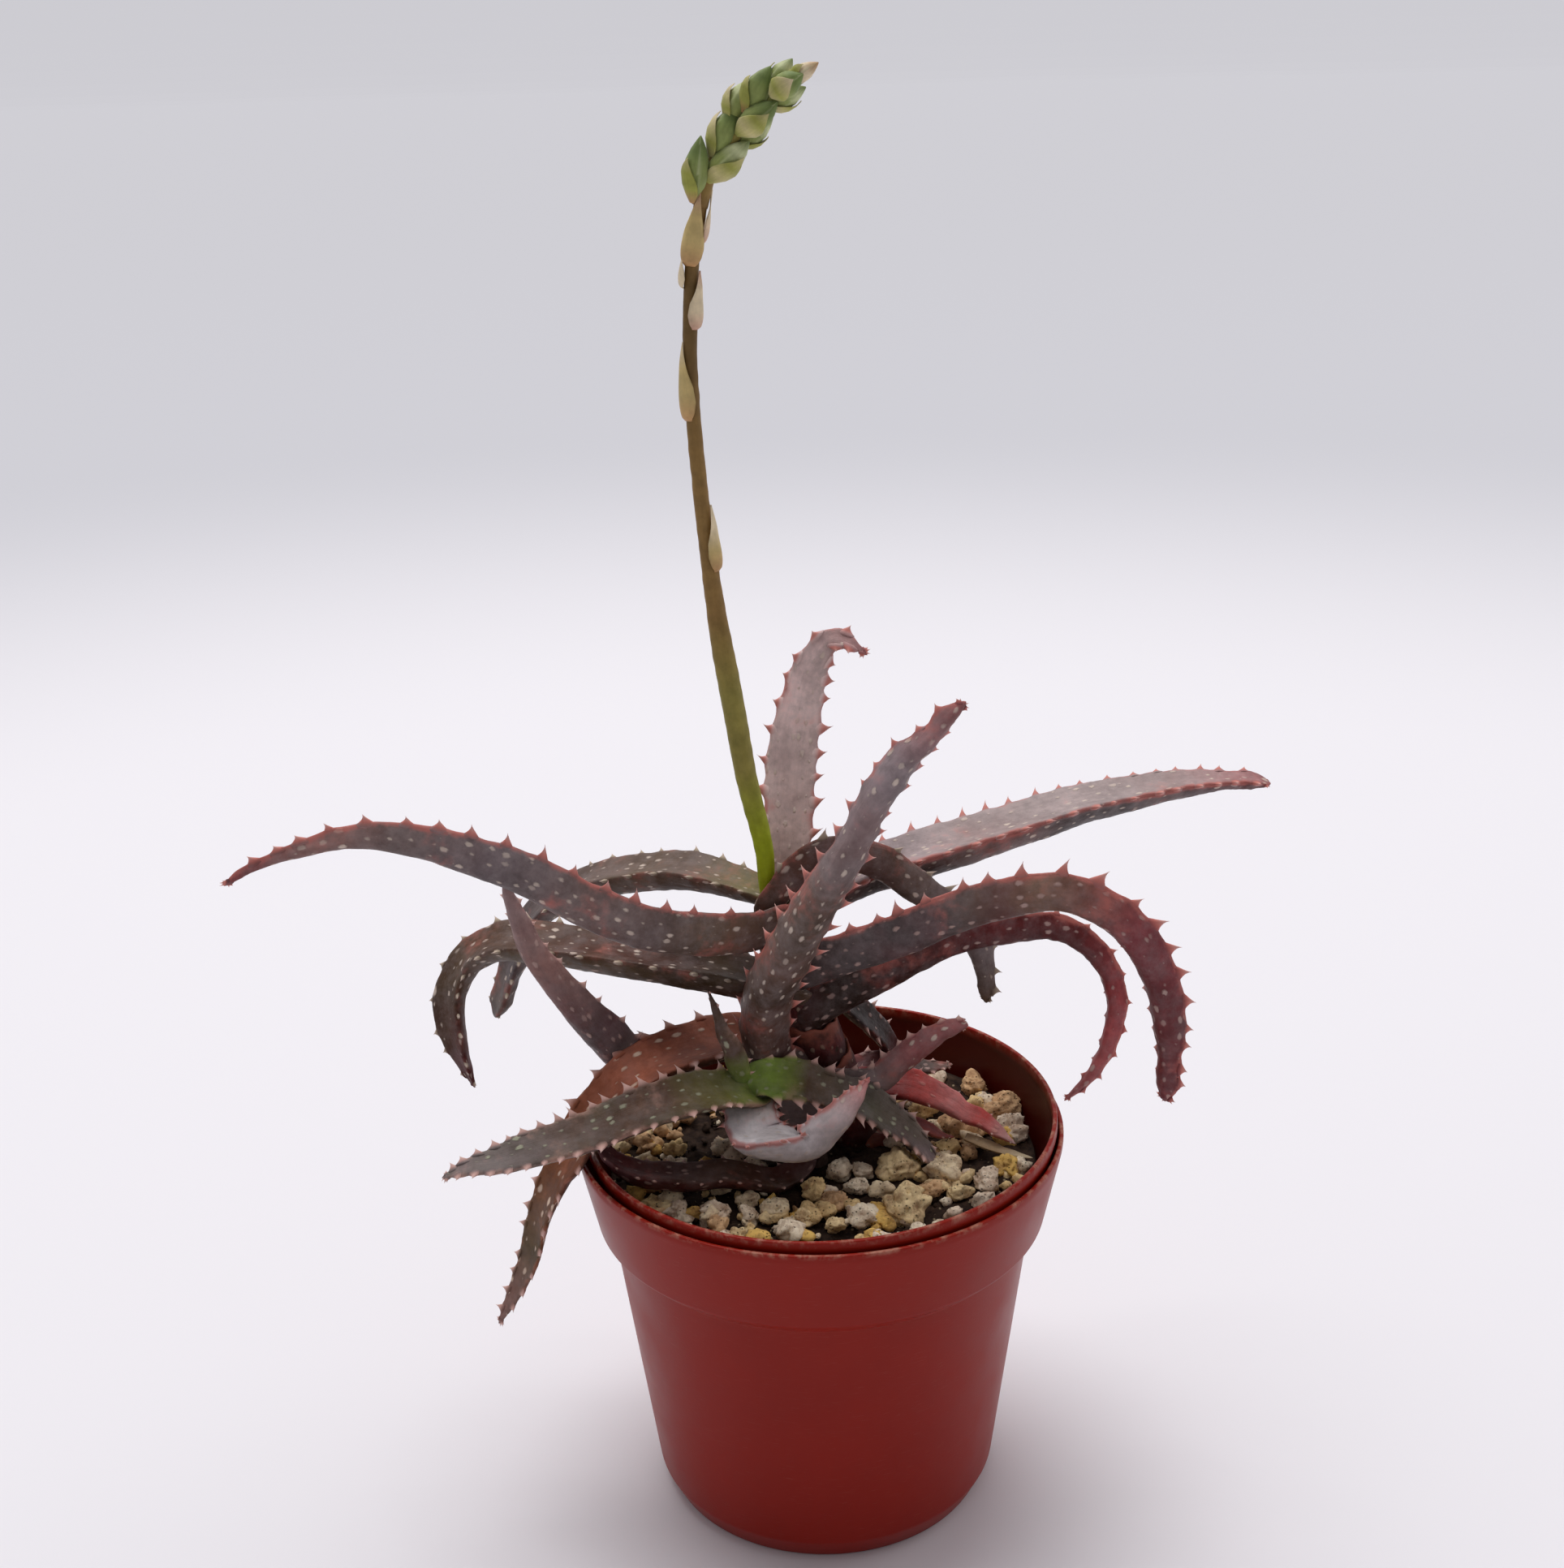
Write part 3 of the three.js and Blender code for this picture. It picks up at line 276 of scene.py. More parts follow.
        **PUP, "blunt": 0.6, "line": 0.3,
        "route": [[2, 7, 76], [-3, 9, 76.5], [3.5, 11, 77], [8, 13.5, 77.5], [14.5, 15, 77.5],
            [20.5, 17, 75], [26, 18, 75]],
        "width": [5.2, 5.1, 4.6, 4.8, 3.8, 0.9],
        "face": [[0, -0.4, 0.95], [0, -0.4, 0.95]],
        "slot": "red_leaf",
        "under": "umber wine peat slate",
        "upper": "umber wine peat bark",
    },
    "leaf_low_red": {
        **PUP, "plump": 0.5, "tooth": 0.9, "pitch": 7.2, "blunt": 0.35, "line": 0.2,
        "fold": [0.35, 0.3],
        "route": [[4.5, 7.5, 75.5], [9.5, 7, 77], [14, 6, 77.5], [17.5, 5, 77.5], [21, 4, 76.5],
            [24.5, 3, 75], [27, 1, 74], [30, 0, 73], [33, -2, 71.5], [36, -4, 70]],
        "width": [6.6, 6.9, 6.6, 4.8, 3.6, 1.1],
        "face": [[0.2, -0.5, 0.85], [0.3, -0.5, 0.8]],
        "slot": "bright_red_leaf",
        # painted highlights: the salmon stops and the blossom at the tip are streaks of gloss on
        # the red
        "under": "rust claret cherry salmon cherry salmon",
        "upper": "cherry claret cherry salmon cherry blossom",
    },
    "leaf_low_small": {
        **PUP, "tooth": 0.8, "pitch": 4.8, "blunt": 0.5,
        "fold": [0.3, 0.3],
        "route": [[8.5, 5, 73.5], [12.5, 4, 73.5], [15.5, 3, 72], [19, 1, 71.5], [22.5, 0, 70],
            [25, -1, 70]],
        "width": [3, 2.9, 3, 2.8, 2.4, 0.7],
        "face": [[0.3, -0.3, 0.9], [0.3, -0.3, 0.9]],
        "slot": "red_leaf",
        "under": "umber wine claret wine",
        "upper": "umber wine rose wine",
    },
    "pup_leaf_left": {
        **PUP, "pitch": 3.0, "tooth": 2.3, "blunt": 0.3, "line": 0.45,
        "route": [[-11, -7, 81.5], [-12, -9, 84], [-17, -12, 86.5], [-21.5, -15, 87.5],
            [-27, -18, 87.5], [-32.5, -20, 86.5], [-38, -22, 85], [-43.5, -24, 84],
            [-50.5, -26, 83], [-55, -27, 82], [-60, -28, 81.5], [-65, -28, 79.5]],
        "width": [4.8, 8.4, 8.3, 7.6, 6, 0.5],
        "face": [[-0.1, -0.5, 0.9], [-0.1, -0.45, 0.9]],
        "slot": "green_leaf",
        "under": "olive walnut cocoa slate pewter",
        "upper": "fresh moss walnut walnut bark plum pewter",
    },
    "pup_leaf_right": {
        **PUP, "pitch": 2.8, "tooth": 2.3, "blunt": 0.7, "line": 0.35,
        "route": [[-13.5, -8, 84.5], [-11, -8, 86.5], [-7, -8, 86.5], [-2.5, -7.5, 85.5],
            [2.5, -6.5, 83], [6, -5.5, 81.5], [9.5, -4.5, 79], [12.5, -4, 76], [15.5, -4, 73.5],
            [18, -5.5, 71.5], [21, -8, 68]],
        "width": [4.4, 7.8, 6.2, 6.8, 5.5, 1.2],
        "face": [[0.3, -0.7, 0.7], [0.3, -0.7, 0.7], [0.6, -0.4, 0.7]],
        "slot": "green_leaf",
        "under": "moss moss walnut slate plum",
        "upper": "fresh fresh walnut bark iron slate slate plum",
    },
    "pup_leaf_front_curled": {
        **PUP, "pitch": 2.2, "tooth": 1.7, "plump": 0.38, "blunt": 0.35, "line": 1.0,
        "thorn": "coral", "fold": [0.4, 0.2, 0.25, 0.4],
        "route": [[-12, -5.5, 79.5], [-12, -8, 81.5], [-12, -12, 80.5], [-11, -15, 79],
            [-7.5, -17.5, 79.5], [-4.5, -19, 79.5], [-1.5, -19, 80], [0.5, -19, 82],
            [3, -19, 84.5], [5, -18, 86.5], [7, -17, 88.5], [9, -16, 91]],
        "width": [7.8, 9.4, 11.2, 8.6, 6.2, 1.2],
        "face": [[0, -0.3, 1], [0, 0.1, 1], [0, 0.8, 0.6], [-0.4, 0.8, 0.5]],
        "slot": "grey_leaf",
        # painted light: the silver and frost tones are paler than the leaf, for light on faces that
        # lie in shade
        "under": "silver silver silver mist salmon",
        "upper": "frost silver silver mist salmon",
    },
    "pup_leaf_heart": {
        **PUP, "tooth": 1.1, "pitch": 3.6, "blunt": 0.3, "line": 0.2,
        "route": [[-13.5, -5.5, 81], [-14, -6, 83], [-14, -7.5, 86.5], [-14.5, -9, 90.5],
            [-15, -9.5, 93.5], [-16.5, -10, 97], [-17.5, -10.5, 101], [-19, -10.5, 106]],
        "width": [2.9, 3.3, 4.6, 3.5, 1.7, 0.5],
        "face": [[0.5, 0.8, 0.1], [0.5, 0.8, 0.1]],
        "slot": "green_leaf",
        "under": "fresh fresh walnut walnut umber",
        "upper": "fresh fresh walnut cocoa umber",
    },
    "pup_leaf_right_raised": {
        **PUP, "tooth": 1.8, "pitch": 2.7, "blunt": 0.78, "line": 0.5,
        "route": [[-10, -3, 81.5], [-5, -1.5, 81.5], [2, -1, 82], [8, -0.5, 81.5],
            [11.5, 0, 82], [14.5, 0, 85], [17.5, 0, 87.5], [20, 0, 89.5], [23, 0, 91.5],
            [26, 0, 92.5], [27.5, 0, 92.5]],
        "width": [3.7, 5.1, 5.9, 5.9, 5.2, 1.2],
        "face": [[-0.1, 0.8, 0.5], [-0.2, 0.9, 0.3]],
        "slot": "grey_leaf",
        "under": "bark slate pewter rose rose",
        "upper": "bark slate pewter rose rose",
    },
    "pup_leaf_low_left": {
        **PUP, "tooth": 1.1, "blunt": 0.6, "line": 0.1, "thorn": "blush",
        "fold": [0.5, 0.4, 0.4],
        "route": [[-5, -4, 73], [-4, -3, 71.5], [-3.5, -8, 69], [-7.5, -11, 67.5],
            [-12.5, -13, 69.5], [-17.5, -14, 71], [-22.5, -15, 71], [-28.5, -16, 72],
            [-33, -16, 73], [-37, -15, 75], [-40, -13, 78]],
        "width": [5, 5.2, 6.3, 6.7, 6, 1.1],
        "face": [[0.5, -0.1, 0.9], [0, -0.1, 1], [0, 0.1, 1]],
        "slot": "red_leaf",
        "under": "peat cocoa garnet wine",
        "upper": "peat walnut cocoa wine",
    },
    "pup_leaf_inner": {
        **PUP, "tooth": 1.1, "blunt": 0.6,
        "fold": [0.4, 0.4],
        "route": [[-11, -5, 78], [-6, -5, 78], [-0.5, -4, 76.5], [4.5, -3, 74]],
        "width": [4.6, 5.3, 5.5, 5.5, 3.8, 1.2],
        "face": [[0.2, -0.6, 0.7], [0.2, -0.6, 0.7]],
        "slot": "grey_leaf",
        "under": "slate slate bark",
        "upper": "mist mauve bark",
    },
    "dried_leaf": {
        **PUP, "plump": 0.2, "pitch": 99, "blunt": 0.8,
        "route": [[27, -1, 70], [32.5, -3.5, 68.8], [36, -4.8, 68.3], [39, -5.6, 68]],
        "width": [1.8, 2.2, 1.6, 0.8],
        "face": [[0, -0.3, 1], [0, -0.3, 1]],
        "slot": "straw",
        "under": "straw straw straw",
        "upper": "straw straw paper",
    },
}

POT_PROFILE = [
    [0, 0], [30.2, 0], [32.4, 4.4], [39, 54.8], [41.7, 57.2], [44.9, 72], [44.9, 73.4],
    [44.1, 73.4], [44, 71.4], [40.8, 57.9], [38.1, 55.4], [31.5, 5], [29.4, 1.3], [0, 1.3],
]
# The inner pot is drawn from its rim's centre, then tilted and set in place.
INNER_PROFILE = [
    [0, -73.2], [27.4, -73.2], [28.6, -69.7], [35.7, -21.2], [38.5, -18.8], [39.4, -17],
    [43.4, -1.8], [43.3, 0], [42.5, 0], [42.3, -2.4], [38.6, -16.6], [37.7, -18],
    [34.9, -20.6], [27.8, -69.2], [26.8, -72.2], [0, -72.2],
]
INNER_RIM = [0.4, 0, 75.5]
INNER_TILT = [0.011, -0.018]  # in radians about X and Y
HOLE_RING, HOLE_RADIUS, DRILL = 17, 3, 3  # four drain holes, drilled 3 above and below the floor

# The mix's top, and the foot and side of the mix, drawn from the inner rim's centre.
SOIL_TOP = 66.0
MIX_TOP = SOIL_TOP - INNER_RIM[2]
MIX_SIDE = [
    [0.5, -71.8], [26.2, -71.8], [27.3, -68.2], [34.4, -20.4], [37.1, -17.8], [38, -16.2],
    [39.5, MIX_TOP - 0.9], [39.3, MIX_TOP - 0.4],
]
CRUMBS = 260
GOLDEN = 2.39996  # the golden angle in radians, which spreads things evenly round a middle

# The larger pumice stones as x, y and size.
STONES = [
    [14.5, -8, 8], [22.5, -9, 7], [15, -21, 8], [8, -23.5, 5], [-8.5, -21.5, 5.5],
    [-13, -17, 4], [-1, -15, 4.5], [-32, 3, 5], [-27, 1, 4.5], [35, 14, 8], [30.5, 22.5, 5.5],
    [36, 5, 7.5], [27, 7, 7.5], [30, -12, 6], [34, -8, 5], [19.5, 14, 5.5], [-19, -21, 5.5],
    [-26, -20, 5], [-3, -23.5, 4.5], [19, -15, 4.5], [2, -19, 5], [24, 0, 4.5],
    [3.5, -8, 5.2], [-1.4, -13, 4.6], [7.6, -8, 4.2], [6.5, -13, 4],
]
BARE = [[9.5, -17, 2.5], [2, -9, 3.5]]  # two places kept free of small stones: x, y, radius
STONE_TINTS = ["#f6dcaa", "#f8e4c0", "#e8bf6c", "#f0dcc4", "#f6d69c", "#faead0", "#e0b88c"]

STEM = {
    "route": [[7, 7, 56], [6.5, 6.5, 66], [3.5, 6, 76], [0, 6, 86], [-3, 5.5, 96],
              [-6, 4.5, 106], [-7.5, 4, 112]],
    "radii": [3.5, 5, 5.2, 5, 4.4, 3.8, 2.6],
}
PUP_STEM = {
    "route": [[1, -1, 57], [-1.5, -2, 66], [-7, -4, 74], [-12, -6, 80]],
    "radii": [2.6, 3.2, 3.2, 2.4],
}
STALK = {
    "route": [
        [-8, 3.2, 114.5], [-8.4, 3, 119], [-8.9, 3, 127.6], [-11.4, 3, 139.9], [-13.1, 3, 152],
        [-15.4, 3, 168.1], [-16.7, 3, 180.9], [-17.6, 3, 192], [-18.2, 3, 202.8],
        [-18.4, 3, 213.5], [-18, 3, 221.3], [-17.4, 3, 228.9], [-16.2, 3, 235.2],
        [-15.3, 3, 239.6],
    ],
    "radii": [1.3, 1.6, 1.8, 1.9, 1.95, 1.9, 1.6, 1.4, 1.3, 1.25, 1.2, 1.2, 1.15, 1.1],
}
RACHIS = {
    "route": [[-15.9, 3, 237.2], [-13.6, 3, 243.4], [-9.7, 2.4, 248], [-6, 1.8, 251.4],
              [-2.5, 0.8, 254.2], [0.8, 0, 256]],
    "radii": [1.3, 1.2, 1.0, 0.9, 0.8, 0.6],
}

# Papery bracts that clasp the stalk: height of root and tip, width, the way each one faces
# in degrees (0 right, -90 front), how far the tip leans out, and its tones.
BRACTS = [
    [177.6, 189.0, 3.9, -28, 0.3, "bract_tan bract_yellow paper paper"],
    [203.2, 216.0, 4.3, -142, 0.1, "bract_tan bract_yellow bract_yellow paper"],
    [218.0, 227.4, 4.1, -30, 0.3, "paper_pink paper paper paper_pink"],
    [224.4, 230.8, 3.4, 186, 0.2, "paper paper paper"],
    [228.0, 239.6, 4.0, -104, 0.0, "bract_tan bract_yellow bract_yellow paper_pink"],
    [231.6, 240.0, 3.2, 4, 0.2, "paper_pink paper paper"],
]

# Closed buds up the flower head: root, tip and width.
BUDS = [
    [[-16.9, 2.2, 238.2], [-15.2, 1.2, 248], 4.0], [[-14.6, 2.4, 241.2], [-7.6, 1.4, 247], 4.2],
    [[-13.6, 3, 244.6], [-9.4, 2.8, 252.4], 4.4], [[-9.8, 3.6, 246.2], [-3.8, 3.4, 250.6], 3.8],
    [[-9.4, 1.4, 248.2], [-3, -0.2, 252.8], 4.2], [[-11, 3, 250], [-7.4, 3, 256], 4],
    [[-8.2, 1.8, 251.4], [-4, 1.2, 258], 4.2], [[-4.8, 1.8, 252], [1.4, 1.2, 254.8], 3.4],
    [[-4, -0.4, 253.8], [1, -1.6, 256.8], 3.9], [[-4.6, 2, 254.2], [-0.6, 2.2, 259], 3.4],
    [[-12.2, 4.4, 246.8], [-6.8, 5.4, 251.2], 3.7], [[-7, 3.6, 252.6], [-1.8, 4.2, 256.8], 3.4],
    [[-1.6, 0.4, 255.4], [3.4, -0.6, 258.4], 2.7],
]
# Tones from foot to tip that the buds and the bracts round their feet take by turns.
BUD_TONES = ["bud_base bud_green bud_green bud_tip bud_tip",
             "bud_base bud_base bud_green bud_rim bud_tip"]
HUSK_TONES = ["bract_tan husk_green husk_green husk", "husk_green husk husk_green husk",
              "husk husk_green husk paper"]

# The stage in metres: each lamp's place, diameter and share of the lamp's power, the point
# that they face, and the camera's place and its yaw, pitch and roll, fitted to the pots.
LAMPS = {"lamp_over": ((-0.2, 0.45, 1.9), 1.5, 1.0), "lamp_side": ((1.5, 0.6, 0.9), 1.0, 0.12)}
LAMP_AIM = (0, 0, 0.12)
CAMERA_PLACE = (0, -0.3372, 0.2646)
CAMERA_TURN = (-0.0154, 0.3539, -0.0267)


# Numbers and curves


def linear(code):
    """An sRGB hex colour as linear red, green and blue."""
    s = np.array([int(code[i:i + 2], 16) / 255 for i in (1, 3, 5)])
    return np.where(s <= 0.04045, s / 12.92, ((s + 0.055) / 1.055) ** 2.4)


def rgba(code):
    """An sRGB hex colour as a linear colour with alpha 1."""
    return (*linear(code), 1.0)


def tones(names, u):
    """The colour at u of a list of tone names spread evenly from 0 to 1."""
    stops = np.array([linear(TONES[name]) for name in names.split()])
    where = np.linspace(0, 1, len(stops))
    return np.stack([np.interp(u, where, stops[:, k]) for k in range(3)], -1)


def draw(k, seed):
    """A repeatable number from 0 to 1: the fraction of a large sine of k and the seed."""
    wave = np.sin(np.asarray(k, float) * 12.9898 + seed * 78.233) * 43758.5453
    return wave - np.floor(wave)


def ripple(places, size, seed):
    """Smooth noise from -1 to 1 of the given size in mm: seven sines in different ways."""
    k = np.arange(7)
    way = np.stack([draw(k, seed) - 0.5, draw(k, seed + 1) - 0.5, draw(k, seed + 2) - 0.5], 1)
    way *= (TAU / size * (0.6 + 0.9 * draw(k, seed + 3)) / np.linalg.norm(way, axis=1))[:, None]
    return np.sin(places @ way.T + TAU * draw(k, seed + 4)).sum(-1) / 3.6


def unit(v):
    """Vectors scaled to length 1."""
    return v / np.linalg.norm(v, axis=-1, keepdims=True)


def value_at(values, u):
    """A list of numbers or vectors spread evenly from 0 to 1, read at u with a smooth cubic."""
    v = np.asarray(values, float)
    v = np.concatenate([[2 * v[0] - v[1]], v, [2 * v[-1] - v[-2]]])
    place = np.clip(u, 0, 1) * (len(v) - 3)
    i = np.minimum(place.astype(int), len(v) - 4)
    f = (place - i).reshape([-1] + [1] * (v.ndim - 1))
    a, b, c, d = v[i], v[i + 1], v[i + 2], v[i + 3]
    return (2 * b + (c - a) * f + (2 * a - 5 * b + 4 * c - d) * f ** 2
            + (3 * b - a - 3 * c + d) * f ** 3) / 2


def curve_at(route, u):
    """Places and directions at u, by even arc length, on the smooth cubic through a route."""
    steps = np.linspace(0, 1, 201)
    fine = value_at(route, steps)
    run = np.concatenate([[0], np.cumsum(np.linalg.norm(np.diff(fine, axis=0), axis=1))])
    t = np.interp(np.clip(u, 0, 1) * run[-1], run, steps)
    ahead = value_at(route, np.minimum(t + 1e-4, 1))
    behind = value_at(route, np.maximum(t - 1e-4, 0))
    return value_at(route, t), unit(ahead - behind), run[-1]


def square_to(v, way):
    """Vectors turned square to a unit direction: v less its share along it, at length 1."""
    return unit(v - (v * way).sum(-1, keepdims=True) * way)


def plane(rows, cols):
    """UVs of a grid in centimetres, from a value for each row and one for each column."""
    return np.stack(np.broadcast_arrays(rows[:, None], cols), -1)


def doubled(front, skin):
    """A sheet as a closed ring in each row: over its front, then back along the inner
    columns moved by -skin."""
    return np.concatenate([front, (front - skin)[:, -2:0:-1]], 1)


# Meshes


class Shell:
    """The vertices, faces and per-vertex values of one mesh, gathered part by part."""

    def __init__(self):
        self.points, self.faces, self.uvs, self.count = [], [], [], 0
        self.values = {"tone": [], "edge": [], "tooth": []}

    def grid(self, points, uv=None, tone=0.5, edge=0.0, tooth=0.0):
        """Takes in a closed skin over a grid of rows round a body. Row 0 and the last row are
        closed by fans to their own middles, and the faces are turned outwards. uv has one
        column more than the points. The tone, edge and tooth are given for all points, for
        each row or for each point."""
        rows, cols = points.shape[:2]
        flat = points.reshape(-1, 3)
        i, j = np.meshgrid(np.arange(rows - 1), np.arange(cols), indexing="ij")
        here, beside = (i * cols + j).ravel(), (i * cols + (j + 1) % cols).ravel()
        quads = np.stack([here, beside, beside + cols, here + cols], 1)
        k = np.arange(cols)
        first = np.stack([np.full(cols, rows * cols), (k + 1) % cols, k], 1)
        last = (rows - 1) * cols
        final = np.stack([np.full(cols, rows * cols + 1), last + k, last + (k + 1) % cols], 1)
        if uv is None:
            uv = np.zeros((rows, cols + 1, 2))
        i, j = i.ravel(), j.ravel()
        square = np.stack([uv[i, j], uv[i, j + 1], uv[i + 1, j + 1], uv[i + 1, j]], 1)
        low = np.stack([(uv[0, k] + uv[0, k + 1]) / 2, uv[0, k + 1], uv[0, k]], 1)
        high = np.stack([(uv[-1, k] + uv[-1, k + 1]) / 2, uv[-1, k], uv[-1, k + 1]], 1)
        p, q, r, t = (flat[quads[:, n]] - flat.mean(0) for n in range(4))
        turn = -1 if (p * (np.cross(q, r) + np.cross(r, t))).sum() < 0 else 1
        self.faces += [f[:, ::turn] + self.count for f in (quads, first, final)]
        self.uvs += [w[:, ::turn] for w in (square, low, high)]

        def with_ends(values):
            ends = np.stack([values[0].mean(0), values[-1].mean(0)])
            return np.concatenate([values.reshape(rows * cols, *values.shape[2:]), ends])

        self.points.append(with_ends(points))
        self.values["tone"].append(with_ends(np.broadcast_to(tone, points.shape)))
        for key, value in (("edge", edge), ("tooth", tooth)):
            self.values[key].append(with_ends(np.broadcast_to(value, (rows, cols))))
        self.count += rows * cols + 2

    def piece(self, name, node, material, sharp=None):
        """Makes the mesh object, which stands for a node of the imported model."""
        mesh = bpy.data.meshes.new(name)
        points = np.concatenate(self.points) * MM
        sizes = np.concatenate([np.full(len(f), f.shape[1]) for f in self.faces])
        corners = np.concatenate([f.ravel() for f in self.faces])
        mesh.vertices.add(len(points))
        mesh.vertices.foreach_set("co", points.ravel())
        mesh.loops.add(len(corners))
        mesh.loops.foreach_set("vertex_index", corners)
        mesh.polygons.add(len(sizes))
        mesh.polygons.foreach_set("loop_start", np.concatenate([[0], np.cumsum(sizes)[:-1]]))
        mesh.update(calc_edges=True)
        layer = mesh.uv_layers.new(name="skin")
        layer.data.foreach_set("uv", np.concatenate([u.reshape(-1, 2) for u in self.uvs]).ravel())
        tone = np.concatenate(self.values["tone"])
        tone = np.concatenate([tone, np.ones((len(tone), 1))], 1)
        mesh.attributes.new("tone", "FLOAT_COLOR", "POINT").data.foreach_set("color", tone.ravel())
        for key in ("edge", "tooth"):
            values = np.concatenate(self.values[key])
            mesh.attributes.new(key, "FLOAT", "POINT").data.foreach_set("value", values)
        mesh.validate()
        mesh.shade_smooth()
        if sharp:
            mesh.set_sharp_from_angle(angle=np.radians(sharp))
        mesh.materials.append(material)
        obj = bpy.data.objects.new(name, mesh)
        bpy.context.scene.collection.objects.link(obj)
        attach(obj, "root")
        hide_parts(node)
        return obj


def tube(shell, route, radii, rows, cols, tone, rough, seed, ribs=0, rib=0.0):
    """A round body along a route: at each row a ring of the radius read from the list, plus
    ribs as a cosine of the angle and a little noise."""
    u = np.linspace(0, 1, rows)
    centre, along, length = curve_at(route, u)
    side = unit(np.cross([0, 1, 0], along))
    up = np.cross(along, side)
    angle = np.linspace(0, TAU, cols, endpoint=False)
    reach = value_at(radii, u)[:, None] * (1 + rib * np.cos(ribs * angle))
    angle = angle[None, :, None]
    ring = np.cos(angle) * side[:, None] + np.sin(angle) * up[:, None]
    places = centre[:, None] + ring * reach[..., None]
    places = places + ring * (rough * ripple(places, 3.0, seed))[..., None]
    uv = plane(u * length / 10, np.linspace(0, TAU, cols + 1) * np.mean(radii) / 10)
    shell.grid(places, uv, tones(tone, u)[:, None])


def teeth(shell, root, outward, along, up, height, base, skin, thorn):
    """Curved flat thorns. At height h, from -0.3 inside the leaf to 1, a thorn is an ellipse
    round root + outward * height * h + along * height * lean, where lean is 0.38 * h ** 1.6
    outside the leaf. Its half length along the margin is base * (1 - h) ** 1.6 / 2 and its
    half thickness (0.18 * base + 0.08) * (1 - h) ** 1.1. Its tone runs from the leaf's to
    the thorn's and is palest at the point."""
    level = np.linspace(-0.3, 1, 8)
    h = level[None, :, None, None]
    angle = np.linspace(0, TAU, 8, endpoint=False)[None, None, :, None]
    fall = np.clip(1 - h, 0.02, 1.15)
    tall, wide = (np.asarray(v, float)[:, None, None, None] for v in (height, base))
    out, way, lift = (v[:, None, None, :] for v in (outward, along, up))
    lean = 0.38 * np.maximum(h, 0) ** 1.6
    places = (root[:, None, None] + out * tall * h + way * tall * lean
              + way * np.cos(angle) * wide * 0.5 * fall ** 1.6
              - lift * np.sin(angle) * (wide * 0.18 + 0.08) * fall ** 1.1)
    turn = np.clip((level + 0.05) / 0.4, 0, 1)[:, None, None]
    pale = 0.55 * np.clip((level - 0.35) / 0.5, 0, 1)[:, None, None]
    mask = np.clip(0.15 + 0.85 * level, 0.1, 1)[:, None]
    for thorn_places, own in zip(places, skin):
        tone = own * (1 - turn) + linear(TONES[thorn]) * turn
        tone = tone * (1 - pale) + linear(TONES["thorn_point"]) * pale
        shell.grid(thorn_places, None, tone, tooth=mask)


